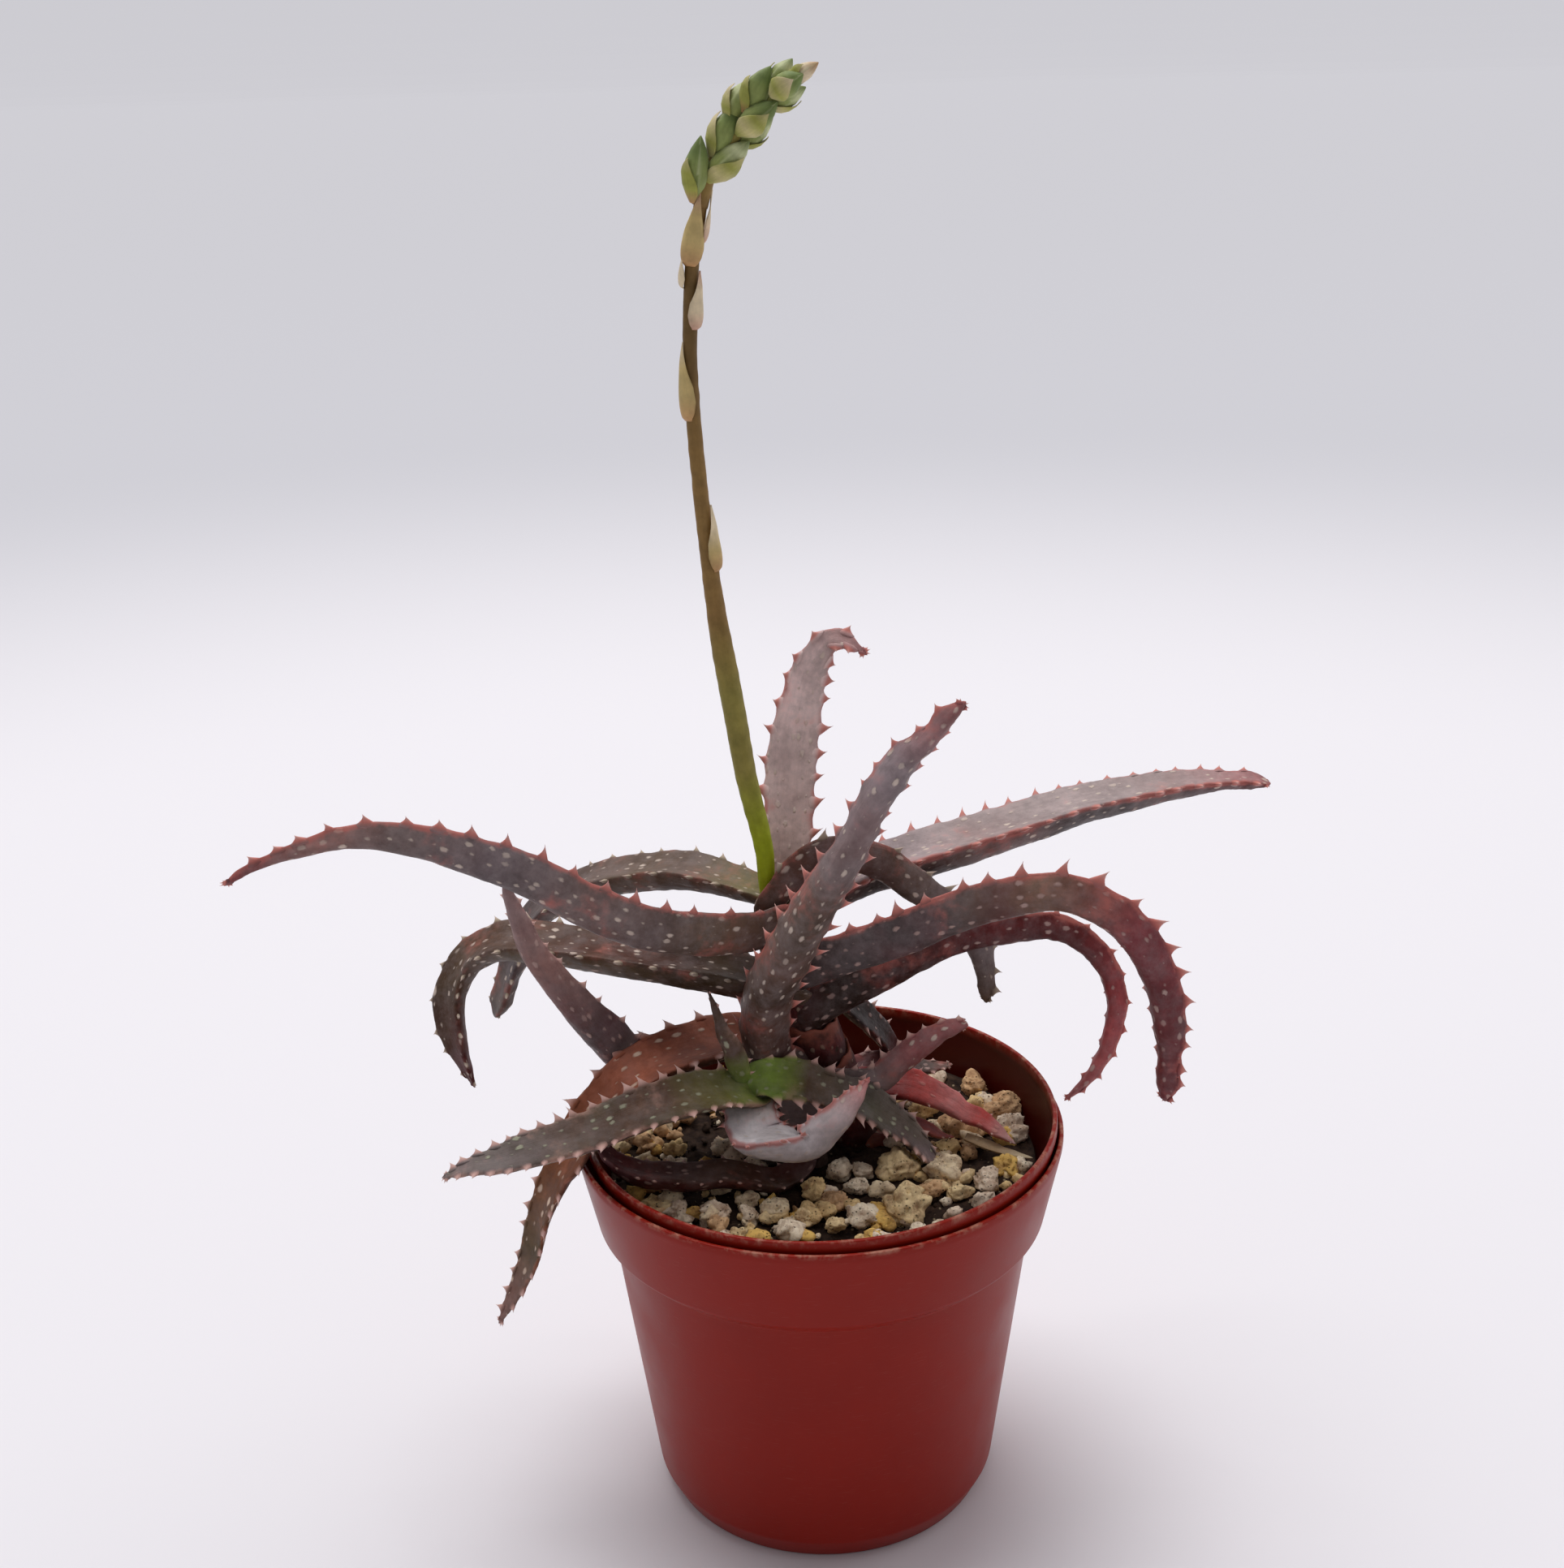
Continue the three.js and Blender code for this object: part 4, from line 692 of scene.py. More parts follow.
def leaf(shell, spec, seed):
    """A channelled, toothed leaf. With a running from margin to margin (-1 to 1) as a cosine,
    the section is centre + side * a * half + up * (fold * half * (a*a - 0.45) + skin). With
    the same angle's sine, above 0 on the underside, skin is -1.2 * belly * sine there and
    -0.8 * belly * sine on the upper face. The margin swells a little at each thorn, the whole
    skin is slightly uneven, and what faces down is painted darker, as shade."""
    length = curve_at(spec["route"], np.zeros(1))[2]
    rows = int(length / LEAF_ROW) + 16
    u = 1 - (1 - np.linspace(0, 1, rows)) ** CROWDING
    centre, along, _ = curve_at(spec["route"], u)
    up = square_to(value_at(spec["face"], u), along)
    side = np.cross(along, up)
    close = np.clip((1 - u) * length / TIP_LENGTH, 0.004, 1) ** 0.55
    width = np.maximum(value_at(spec["width"], u), spec["blunt"] * spec["width"][-2] * (u > 0.6))
    half = 0.5 * width * close
    belly = 0.5 * (spec["plump"] * 2 * half + 0.35 * close) + 0.16 * close
    fold = value_at(spec["fold"], u)
    angle = np.concatenate([np.linspace(0, np.pi, BELOW + 1)[:-1],
                            np.linspace(np.pi, TAU, ABOVE + 1)[:-1]])
    a = -np.cos(angle)
    skin = np.where(np.sin(angle) > 0, -1.2, -0.8) * np.sin(angle) * belly[:, None]
    channel = (fold * half)[:, None] * (a * a - 0.45)

    # thorns by turns on the left and right margin, each a little off its even place
    count = int(length * (0.96 - spec["bare"]) / spec["pitch"])
    hand = np.tile([-1.0, 1.0], count)
    step = np.repeat(np.arange(count), 2) + np.where(hand > 0, 0.5, 0)
    jitter = 0.35 * (draw(np.arange(2 * count), seed) - 0.5)
    at = np.clip((step + jitter) / max(count, 1), 0, 1)
    at = spec["bare"] + (1 - (1 - at) ** CROWDING) * (0.975 - spec["bare"])
    near = np.exp(-((u[:, None] - at) * length / (0.55 * spec["tooth"])) ** 2)
    left, right = ((near * (hand == way)).max(1, initial=0)[:, None] for way in (-1, 1))
    swell = 0.17 * spec["tooth"] * (left * (a < 0) + right * (a > 0)) * np.abs(a) ** 10
    reach = a * half[:, None] + np.sign(a) * swell
    places = (centre[:, None] + side[:, None] * reach[..., None]
              + up[:, None] * (channel + skin)[..., None])
    uneven = 0.10 * ripple(places, 5.0, seed) + 0.05 * ripple(places, 1.9, seed + 7)
    uneven = uneven * np.minimum(half, 1.5)[:, None] / 1.5
    middle = centre[:, None] - up[:, None] * (0.3 * fold * half)[:, None, None]
    places = places + unit(places - middle) * uneven[..., None]
    # painted shade: the tone is darkened by up to 0.42 where the skin faces down
    painted_shade_facing_down = np.clip(0.35 - unit(places - middle)[..., 2:], 0, 1)

    # the upper face's UVs lie 6 cm from the lower face's, so that their spots differ
    closed = np.concatenate([places, places[:, :1]], 1)
    stretch = np.linalg.norm(np.diff(closed, axis=1), axis=2)
    run = np.concatenate([np.zeros((rows, 1)), np.cumsum(stretch, axis=1)], 1)
    keel, groove = run[:, BELOW // 2, None], run[:, BELOW + ABOVE // 2, None]
    upper = np.arange(BELOW + ABOVE + 1) >= BELOW
    uv = plane(u * length, np.where(upper, run - groove + 60, run - keel)) / 10
    margin = np.minimum(np.minimum(run, run[:, -1:] - run), np.abs(run - run[:, BELOW, None]))
    edge = spec["line"] * np.clip(1 - margin[:, :-1] / 1.2, 0, 1)
    blend = np.clip(0.5 - 1.6 * np.sin(angle), 0, 1)[None, :, None]
    under, over = (tones(spec[face], u)[:, None] for face in ("under", "upper"))
    tone = (under * (1 - blend) + over * blend) * (1.06 - 0.42 * painted_shade_facing_down)
    shell.grid(places, uv, tone, edge)
    if count:
        at = at[at < 0.985]
        margin_thorns(shell, spec, seed, at, hand[:len(at)], np.interp(at, u, half), length)


def margin_thorns(shell, spec, seed, at, hand, wide, length):
    """Thorns where `at` says along a leaf, on the margin that hand says and wide off the
    middle, and five small ones that fan out at its tip."""
    k = np.arange(len(at))
    mid, way, _ = curve_at(spec["route"], at)
    lift = square_to(value_at(spec["face"], at), way)
    flank = np.cross(way, lift) * hand[:, None]
    bend = value_at(spec["fold"], at)[:, None]
    root = mid + flank * wide[:, None] + lift * 0.55 * bend * wide[:, None]
    stray = 0.25 * (draw(k, seed + 3) - 0.5)[:, None]
    outward = unit(flank + lift * 1.1 * bend + stray * lift)
    tall = spec["tooth"] * (0.6 + 0.4 * np.sin(np.pi * np.minimum(1, 1.25 * at)))
    tall = tall * (0.7 + 0.5 * draw(k, seed + 5))
    base = spec["tooth"] * (0.85 + 0.4 * draw(k, seed + 6))

    fan = np.radians([-70.0, -38.0, -6.0, 30.0, 66.0])[:, None]
    end, ahead, _ = curve_at(spec["route"], np.full(5, 1 - 0.9 / length))
    tip_lift = unit(value_at(spec["face"], np.ones(1)))
    tip_flank = unit(np.cross(ahead, tip_lift))
    spread = ahead * np.cos(fan) + tip_flank * np.sin(fan)
    tip_wide = 0.28 * spec["blunt"] * spec["width"][-2]
    root = np.concatenate([root, end + tip_flank * np.sin(fan) * tip_wide])
    outward = np.concatenate([outward, spread])
    way = np.concatenate([way, unit(np.cross(tip_lift, spread) * np.sign(-fan))])
    tall = np.concatenate([tall, 0.5 * spec["tooth"] * np.array([0.7, 0.9, 1.0, 0.8, 0.7])])
    base = np.concatenate([base, np.full(5, 0.5 * spec["tooth"])])
    skin = tones(spec["upper"], np.concatenate([at, np.ones(5)]))
    teeth(shell, root, outward, way, unit(np.cross(way, outward)), tall, base, skin,
          spec["thorn"])


def clasp(shell, low, high, wide, facing, lean, tone):
    """A boat-shaped bract wrapped round the stalk from height low to high: widest at a
    quarter of its height, drawn out to a point, its skin 0.2 mm off the stalk plus a belly
    of 0.8 * sin(pi * h ** 0.55) * (1 - 0.3 * h) and lean * h ** 2."""
    h = np.linspace(0, 1, 26)
    heights = low + (high - low) * h
    steps = np.linspace(0, 1, 400)
    fine, _, _ = curve_at(STALK["route"], steps)
    u = np.interp(heights, fine[:, 2], steps)
    centre, along, _ = curve_at(STALK["route"], u)
    # a bract that ends above the stalk's last place goes straight on
    centre = centre + along * np.maximum(heights - STALK["route"][-1][2], 0)[:, None]
    right = unit(np.cross([0, 1, 0], along))
    front = np.cross(right, along)
    core = value_at(STALK["radii"], u)
    half = 0.5 * wide / (core + 0.5) * np.interp(h, [0, 0.1, 0.25, 0.45, 0.65, 0.85, 1],
                                                 [0.6, 0.88, 1.0, 0.88, 0.52, 0.24, 0.04])
    a = np.linspace(-1, 1, 17)
    turn = np.radians(facing) + a * half[:, None]
    reach = core + 0.2 + 0.8 * np.sin(np.pi * h ** 0.55) * (1 - 0.3 * h) + lean * h ** 2
    ring = np.cos(turn)[..., None] * right[:, None] - np.sin(turn)[..., None] * front[:, None]
    h = h[:, None]
    ruffle = 0.06 * np.sin(7 * h + 3 * a) * h
    skin = 0.28 * (1 - 0.6 * np.abs(a) ** 3) * (1 - 0.4 * h)
    places = centre[:, None] + ring * (reach[:, None] + ruffle)[..., None]
    places = doubled(places, ring * skin[..., None])
    uv = plane(h[:, 0] * (high - low) / 10, np.linspace(0, wide / 5, places.shape[1] + 1))
    shell.grid(places, uv, tones(tone, h[:, 0])[:, None])


def blade(shell, root, tip, wide, out, tone, thick, cup, bulge):
    """A dead leaf base or papery scale: a pointed strip from root to tip, cupped across its
    width and bulging outwards in the middle, with a second skin behind it."""
    root, tip = np.array(root, float), np.array(tip, float)
    u = np.linspace(0, 1, 22)
    way = unit(tip - root)
    out = square_to(np.array(out, float), way)
    side = np.cross(way, out)
    a = np.linspace(-1, 1, 13)
    half = 0.5 * wide * np.clip(1.15 * (1 - u) ** 0.55 * (0.8 + 0.5 * u), 0.03, 1.1)
    front = (root + np.outer(u, tip - root))[:, None] + side * (a * half[:, None])[..., None]
    lift = bulge * np.sin(np.pi * u * 0.9)[:, None] - cup * (a ** 2) * half[:, None] * 1.6
    lift = lift + 0.08 * wide * np.sin(9 * u[:, None] + 4 * a) * (u[:, None] ** 2)
    skin = thick * (1 - 0.7 * np.abs(a) ** 3) * (1 - 0.5 * u)[:, None]
    places = doubled(front + out * lift[..., None], out * skin[..., None])
    uv = plane(u * np.linalg.norm(tip - root) / 10, np.linspace(0, wide / 5, places.shape[1] + 1))
    edge = np.abs(np.concatenate([a, a[-2:0:-1]])) ** 4
    shell.grid(places, uv, tones(tone, u)[:, None], edge)


def bud(shell, root, tip, wide, seed, tone):
    """A closed bud: rings whose radius follows a pointed egg with three overlapping petals,
    each a step of a tenth of the radius where its pale edge lies on the next one."""
    root, tip = np.array(root, float), np.array(tip, float)
    u = np.linspace(0, 1, 30)
    way = unit(tip - root)
    side = unit(np.cross(way, [0.2, 1, 0.1]))
    up = np.cross(way, side)
    angle = np.linspace(0, TAU, 36, endpoint=False)
    egg = np.interp(u, [0, 0.08, 0.22, 0.42, 0.62, 0.8, 0.92, 1],
                    [0.24, 0.42, 0.82, 1.02, 0.94, 0.62, 0.3, 0.05])
    twist = (angle * 3 + seed * 1.7 + 1.2 * u[:, None]) / TAU
    petal = 1 - (twist - np.floor(twist))
    lobes = 1 + 0.11 * (petal - 0.5) * np.sin(np.pi * u[:, None])
    ring = np.cos(angle)[:, None] * side + np.sin(angle)[:, None] * up
    reach = 0.5 * wide * egg[:, None] * lobes
    places = (root + np.outer(u, tip - root))[:, None] + ring * reach[..., None]
    rim = 0.55 * np.clip((petal - 0.86) / 0.14, 0, 1)[..., None]
    tone = tones(tone, u)[:, None] * (1 - rim) + linear(TONES["bud_rim"]) * rim
    shell.grid(places, plane(u, np.linspace(0, 1, 37)), tone)


def husk(shell, root, tip, wide, out, share, tone):
    """The bract round a bud's foot: a patch of an egg fuller than the bud, from below its foot
    to share of its length, whose half angle falls as (1 - h ** 1.5) ** 1.05 to a point."""
    root, tip = np.array(root, float), np.array(tip, float)
    h = np.linspace(0, 1, 24)[:, None]
    u = -0.04 + (share + 0.04) * h
    way = unit(tip - root)
    face = square_to(out, way)
    side = np.cross(way, face)
    egg = np.interp(u, [-0.04, 0.02, 0.1, 0.24, 0.42, 0.62, 0.8, 0.92, 1],
                    [0.16, 0.36, 0.62, 0.98, 1.16, 1.1, 0.86, 0.6, 0.45])
    half = 1.5 * np.clip(1 - h ** 1.5, 0.0006, 1) ** 1.05
    turn = np.linspace(-1, 1, 21) * half
    ring = np.cos(turn)[..., None] * face + np.sin(turn)[..., None] * side
    reach = 0.5 * wide * egg + 0.14 + 0.05 * np.sin(5 * turn + 4 * h)
    front = (root + np.outer(u, tip - root))[:, None] + ring * reach[..., None]
    skin = 0.16 * (1 - 0.7 * np.abs(turn / half) ** 3)
    places = doubled(front, ring * skin[..., None])
    uv = plane(h[:, 0] * 0.5, np.linspace(0, 1, places.shape[1] + 1))
    shell.grid(places, uv, tones(tone, h[:, 0])[:, None])


def rounded(profile, radius, steps=5):
    """A profile of straight lines with each corner replaced by a short quadratic curve."""
    p = np.asarray(profile, float)
    out = [p[:1]]
    for before, corner, after in zip(p[:-2], p[1:-1], p[2:]):
        back, on = before - corner, after - corner
        cut = min(radius, 0.4 * np.linalg.norm(back), 0.4 * np.linalg.norm(on))
        t = np.linspace(0, 1, steps)[:, None]
        a, b = corner + unit(back) * cut, corner + unit(on) * cut
        out.append((1 - t) ** 2 * a + 2 * t * (1 - t) * corner + t ** 2 * b)
    out.append(p[-1:])
    return np.concatenate(out)


def set_in_pot(places):
    """Turns points drawn from the inner rim's centre by the pot's tilt and moves them home."""
    a, b = INNER_TILT
    turn = Matrix.Rotation(a, 3, "X") @ Matrix.Rotation(b, 3, "Y")
    return places @ np.array(turn).T + INNER_RIM


def turned(profile, turns):
    """A lathe: each profile point (radius, height) carried round the upright axis."""
    angle = np.linspace(0, TAU, turns, endpoint=False)
    r, z = profile[:, 0][:, None], profile[:, 1][:, None]
    x, y = r * np.cos(angle)[None], r * np.sin(angle)[None]
    return np.stack([x, y, np.broadcast_to(z, x.shape)], -1)


# Materials


def feed(node, inputs):
    """Sets a node's inputs, and links those that are given as another node's output."""
    for key, value in inputs.items():
        if isinstance(value, bpy.types.NodeSocket):
            node.id_data.links.new(value, node.inputs[key])
        else:
            node.inputs[key].default_value = value


def add_node(tree, kind, inputs=None, **settings):
    """Adds one shader node, sets its properties, feeds its inputs and gives its outputs."""
    node = tree.nodes.new("ShaderNode" + kind)
    for key, value in settings.items():
        setattr(node, key, value)
    feed(node, inputs or {})
    return node.outputs


def new_material(name, roughness, ior=1.45, gloss=0.2):
    """A material with one shader and nothing linked yet: the material, its shader and the
    way to add nodes to it. gloss is the share of mirror light, low for wax, bloom, dust and
    grained plastic."""
    material = bpy.data.materials.new(name)
    material.use_nodes = True
    shader = material.node_tree.nodes["Principled BSDF"]
    feed(shader, {"Roughness": roughness, "IOR": ior, "Specular IOR Level": gloss})
    return material, shader, partial(add_node, material.node_tree)


def leaf_skin(name, spot, rim, mottle, bloom, cell=(3.7, 5.8)):
    """Succulent leaf skin, waxy and half matt: the leaf's own tone in slow blotches, pale
    raised spots of mixed size, at most one in each cell of 10 / cell mm, a margin about 1 mm
    wide in the rim colour, broken up, and thorns in their own tone."""
    material, shader, add = new_material(name, 0.46, 1.42)
    skin = add("UVMap", uv_map="skin")[0]
    tone = add("Attribute", attribute_name="tone")["Color"]
    edge = add("Attribute", attribute_name="edge")["Fac"]
    tooth = add("Attribute", attribute_name="tooth")["Fac"]
    place = add("TexCoord")["Object"]
    # blotches about 8 mm and 2 mm wide
    wide = add("TexNoise", {
        "Vector": place, "Scale": 120.0, "Detail": 3.0, "Roughness": 0.6})["Fac"]
    fine = add("TexNoise", {
        "Vector": place, "Scale": 620.0, "Detail": 4.0, "Roughness": 0.65})["Fac"]
    # streaks along the leaf, 0.6 mm wide and 8 mm long (UV is in centimetres)
    long = add("Mapping", {"Vector": skin, "Scale": (1.2, 16.0, 1.0)})[0]
    streak = add("TexNoise", {
        "Vector": long, "Scale": 1.0, "Detail": 3.0, "Roughness": 0.6})["Fac"]
    shade = add("MapRange", {
        "Value": wide, "From Min": 0.3, "From Max": 0.7, "To Min": 0.72, "To Max": 1.24})[0]
    grain = add("MapRange", {
        "Value": fine, "From Min": 0.3, "From Max": 0.7, "To Min": 0.8, "To Max": 1.18})[0]
    lines = add("MapRange", {
        "Value": streak, "From Min": 0.3, "From Max": 0.7, "To Min": 0.95, "To Max": 1.05})[0]
    value = add("Math", {0: shade, 1: grain}, operation="MULTIPLY")[0]
    value = add("Math", {0: value, 1: lines}, operation="MULTIPLY")[0]
    body = add("VectorMath", {0: tone, "Scale": value}, operation="SCALE")[0]
    # reddish or greenish clouds about 14 mm wide
    cloud = add("TexNoise", {"Vector": place, "Scale": 70.0})["Fac"]
    cloud = add("MapRange", {
        "Value": cloud, "From Min": 0.45, "From Max": 0.7, "To Max": 0.45})[0]
    body = add("Mix", {0: cloud, 6: body, 7: rgba(mottle)}, data_type="RGBA")[2]
    # wax: a faint grey film in patches about 4 mm wide
    film = add("TexNoise", {
        "Vector": place, "Scale": 260.0, "Detail": 5.0, "Roughness": 0.7})["Fac"]
    film = add("MapRange", {
        "Value": film, "From Min": 0.42, "From Max": 0.75, "To Max": bloom})[0]
    body = add("Mix", {0: film, 6: body, 7: rgba("#b4a6a6")}, data_type="RGBA")[2]
    # spots: in each cell one of its own size and paleness, the smallest left out
    cells = add("Mapping", {"Vector": skin, "Scale": (*cell, 1.0)})[0]
    bent = add("TexNoise", {"Vector": cells, "Scale": 3.5}, noise_dimensions="2D")["Color"]
    cells = add("Mix", {0: 0.16, 4: cells, 5: bent}, data_type="VECTOR", factor_mode="UNIFORM")[1]
    spots = add("TexVoronoi", {"Vector": cells, "Scale": 1.0}, voronoi_dimensions="2D")
    own = add("SeparateColor", {0: spots["Color"]})
    size = add("MapRange", {"Value": own[0], "To Min": 0.02, "To Max": 0.3})[0]
    inside = add("Math", {0: size, 1: spots["Distance"]}, operation="SUBTRACT")[0]
    near = add("MapRange", {
        "Value": inside, "From Max": 0.15}, interpolation_type="SMOOTHSTEP")[0]
    some = add("MapRange", {"Value": own[1], "To Min": 0.45})[0]
    dot = add("Math", {0: near, 1: some}, operation="MULTIPLY")[0]
    faint = add("Math", {0: dot, 1: 0.85}, operation="MULTIPLY")[0]
    body = add("Mix", {0: faint, 6: body, 7: rgba(spot)}, data_type="RGBA")[2]
    # margin, broken up by the fine noise
    ragged = add("Math", {0: wide, 1: 2.2, 2: -1.25}, operation="MULTIPLY_ADD")[0]
    ragged = add("Math", {0: fine, 1: 0.8, 2: ragged}, operation="MULTIPLY_ADD")[0]
    line = add("Math", {0: edge, 1: ragged}, operation="ADD")[0]
    line = add("MapRange", {
        "Value": line, "From Min": 0.35, "From Max": 1.1, "To Max": 0.8},
        interpolation_type="SMOOTHSTEP")[0]
    body = add("Mix", {0: line, 6: body, 7: rgba(rim)}, data_type="RGBA")[2]
    thorn = add("MapRange", {"Value": tooth, "From Min": 0.02, "From Max": 0.3})[0]
    body = add("Mix", {0: thorn, 6: body, 7: tone}, data_type="RGBA")[2]
    dull = add("MapRange", {
        "Value": fine, "From Min": 0.3, "From Max": 0.7, "To Min": 0.38, "To Max": 0.58})[0]
    high = add("Math", {0: fine, 1: 0.45, 2: dot}, operation="MULTIPLY_ADD")[0]
    high = add("Math", {0: streak, 1: 0.5, 2: high}, operation="MULTIPLY_ADD")[0]
    bump = add("Bump", {"Strength": 0.6, "Distance": 0.0003, "Height": high})[0]
    feed(shader, {"Base Color": body, "Roughness": dull, "Normal": bump})
    return material


def moulded_plastic():
    """Terracotta-coloured polypropylene, injection moulded: an even satin skin with slight
    clouding, paler scuffs, and the mould's grain drawn 0.4 mm wide so that it shows."""
    material, shader, add = new_material("terracotta_polypropylene", 0.34, 1.49, 0.16)
    place = add("TexCoord")["Object"]
    cloud = add("TexNoise", {"Vector": place, "Scale": 60.0, "Detail": 4.0})["Fac"]
    tint = add("Mix", {0: cloud, 6: rgba("#83170a"), 7: rgba("#921e11")}, data_type="RGBA")[2]
    # scuffs: hair-thin marks, drawn 0.2 mm wide and 2.5 mm long so that they show
    scratch = add("Mapping", {"Vector": place, "Scale": (400.0, 400.0, 5000.0)})[0]
    mark = add("TexNoise", {"Vector": scratch, "Scale": 1.0})["Fac"]
    mark = add("MapRange", {"Value": mark, "From Min": 0.62, "From Max": 0.8, "To Max": 0.25})[0]
    tint = add("Mix", {0: mark, 6: tint, 7: rgba("#a85a4c")}, data_type="RGBA")[2]
    # the lip shows sandy where the noise is high, part wear and part painted highlight, and the
    # inside is darkened by painted shade
    edge = add("Attribute", attribute_name="edge")["Fac"]
    lip_wear_and_highlight = add("TexNoise", {
        "Vector": place, "Scale": 500.0, "Detail": 5.0, "Roughness": 0.65})["Fac"]
    lip_wear_and_highlight = add("MapRange", {"Value": lip_wear_and_highlight, "From Min": 0.46, "From Max": 0.68, "To Max": 0.75})[0]
    lip_wear_and_highlight = add("Math", {0: edge, 1: lip_wear_and_highlight}, operation="MULTIPLY")[0]
    tint = add("Mix", {0: lip_wear_and_highlight, 6: tint, 7: rgba("#b98a74")}, data_type="RGBA")[2]
    # painted shade: the tone attribute darkens the inside of each pot
    tone = add("Attribute", attribute_name="tone")["Color"]
    tint = add("VectorMath", {0: tint, 1: tone}, operation="MULTIPLY")[0]
    grain = add("TexNoise", {"Vector": place, "Scale": 2600.0})["Fac"]
    dull = add("MapRange", {
        "Value": cloud, "From Min": 0.3, "From Max": 0.7, "To Min": 0.30, "To Max": 0.44})[0]
    bump = add("Bump", {"Strength": 0.12, "Distance": 0.0001, "Height": grain})[0]
    feed(shader, {"Base Color": tint, "Roughness": dull, "Normal": bump})
    return material


def damp_mix():
    """Peat and grit mix, crumbly and damp: near black with brown fibres and pale grains."""
    material, shader, add = new_material("potting_mix_peat", 0.9)
    place = add("TexCoord")["Object"]
    crumb = add("TexNoise", {
        "Vector": place, "Scale": 450.0, "Detail": 8.0, "Roughness": 0.7})["Fac"]
    dark = add("MapRange", {"Value": crumb, "From Min": 0.35, "From Max": 0.7})[0]
    tint = add("Mix", {0: dark, 6: rgba("#1c1210"), 7: rgba("#4a382c")}, data_type="RGBA")[2]
    # grit grains 0.4 mm across
    grit = add("TexVoronoi", {"Vector": place, "Scale": 900.0})
    fleck = add("MapRange", {
        "Value": grit["Distance"], "From Min": 0.28, "From Max": 0.12})[0]
    few = add("SeparateColor", {0: grit["Color"]})[0]
    few = add("Math", {0: few, 1: 0.82}, operation="GREATER_THAN")[0]
    fleck = add("Math", {0: fleck, 1: few}, operation="MULTIPLY")[0]
    tint = add("Mix", {0: fleck, 6: tint, 7: rgba("#9a8a70")}, data_type="RGBA")[2]
    bump = add("Bump", {"Strength": 0.9, "Distance": 0.0006, "Height": crumb})[0]
    feed(shader, {"Base Color": tint, "Normal": bump})
    return material


def pumice():
    """Crushed pumice, dry and porous: each stone has its own cream, yellow or grey tone, with
    pores up to 0.4 mm wide painted dark as shade, and brown patches, part stain and part painted
    shade."""
    material, shader, add = new_material("pumice_crushed", 0.92)
    tone = add("Attribute", attribute_name="tone")["Color"]
    place = add("TexCoord")["Object"]
    # brown patches by noise, part stain and part painted shade tinted by red light thrown back from
    # the pot
    stain_and_shade = add("TexNoise", {
        "Vector": place, "Scale": 380.0, "Detail": 6.0, "Roughness": 0.7})["Fac"]
    dust = add("MapRange", {
        "Value": stain_and_shade, "From Min": 0.56, "From Max": 0.34, "To Max": 0.75})[0]
    tint = add("Mix", {0: dust, 6: tone, 7: rgba("#8a5f42")}, data_type="RGBA")[2]
    # painted shade: each pore is darkened to a quarter at its middle
    pore = add("TexVoronoi", {"Vector": place, "Scale": 1100.0})["Distance"]
    pore_shade = add("MapRange", {"Value": pore, "From Min": 0.08, "From Max": 0.24, "To Min": 0.25})[0]
    tint = add("VectorMath", {0: tint, "Scale": pore_shade}, operation="SCALE")[0]
    high = add("Math", {0: stain_and_shade, 1: 1.2, 2: pore_shade}, operation="MULTIPLY_ADD")[0]
    bump = add("Bump", {"Strength": 0.8, "Distance": 0.0004, "Height": high})[0]
    feed(shader, {"Base Color": tint, "Normal": bump})
    return material


def plant_skin(name, roughness, stripe, depth, sheen=0.0):
    """Stalk, bud or papery tissue: the piece's own tone with fine lengthwise fibres (stripes
    per centimetre across the piece) and small blotches."""
    material, shader, add = new_material(name, roughness, 1.42)
    skin = add("UVMap", uv_map="skin")[0]
    tone = add("Attribute", attribute_name="tone")["Color"]
    place = add("TexCoord")["Object"]
    fibre = add("Mapping", {"Vector": skin, "Scale": (2.0, stripe, 1.0)})[0]
    fibre = add("TexNoise", {
        "Vector": fibre, "Scale": 1.0, "Detail": 3.0, "Roughness": 0.6})["Fac"]
    blotch = add("TexNoise", {
        "Vector": place, "Scale": 420.0, "Detail": 4.0, "Roughness": 0.6})["Fac"]
    lines = add("MapRange", {
        "Value": fibre, "From Min": 0.3, "From Max": 0.7, "To Min": 1 - depth,
        "To Max": 1 + depth})[0]
    patch = add("MapRange", {
        "Value": blotch, "From Min": 0.3, "From Max": 0.7, "To Min": 0.82, "To Max": 1.16})[0]
    value = add("Math", {0: lines, 1: patch}, operation="MULTIPLY")[0]
    tint = add("VectorMath", {0: tone, "Scale": value}, operation="SCALE")[0]
    bump = add("Bump", {"Strength": 0.4, "Distance": 0.0001, "Height": fibre})[0]
    feed(shader, {"Base Color": tint, "Normal": bump, "Sheen Weight": sheen})
    return material


# Settings and operators


class AloePotSettings(bpy.types.PropertyGroup):
    """Sizes of the pots."""

    turns: bpy.props.IntProperty(
        name="Turns", description="Flat sides of each pot", default=160, min=32)
    lip: bpy.props.FloatProperty(
        name="Lip radius", description="Rounding of the pots' edges in metres", default=0.0005,
        unit="LENGTH")


class AloePlantSettings(bpy.types.PropertyGroup):
    """Colours of the leaves, and the strewn stones."""

    spot: bpy.props.StringProperty(
        name="Spots", description="Colour of the grey and brown leaves' spots, as hex",
        default="#d6c4b6")
    coral: bpy.props.StringProperty(
        name="Margins", description="Colour of the grey and red leaves' margins, as hex",
        default="#b8685f")
    stones: bpy.props.IntProperty(
        name="Small stones", description="Small pumice stones strewn by rule", default=300, min=0)


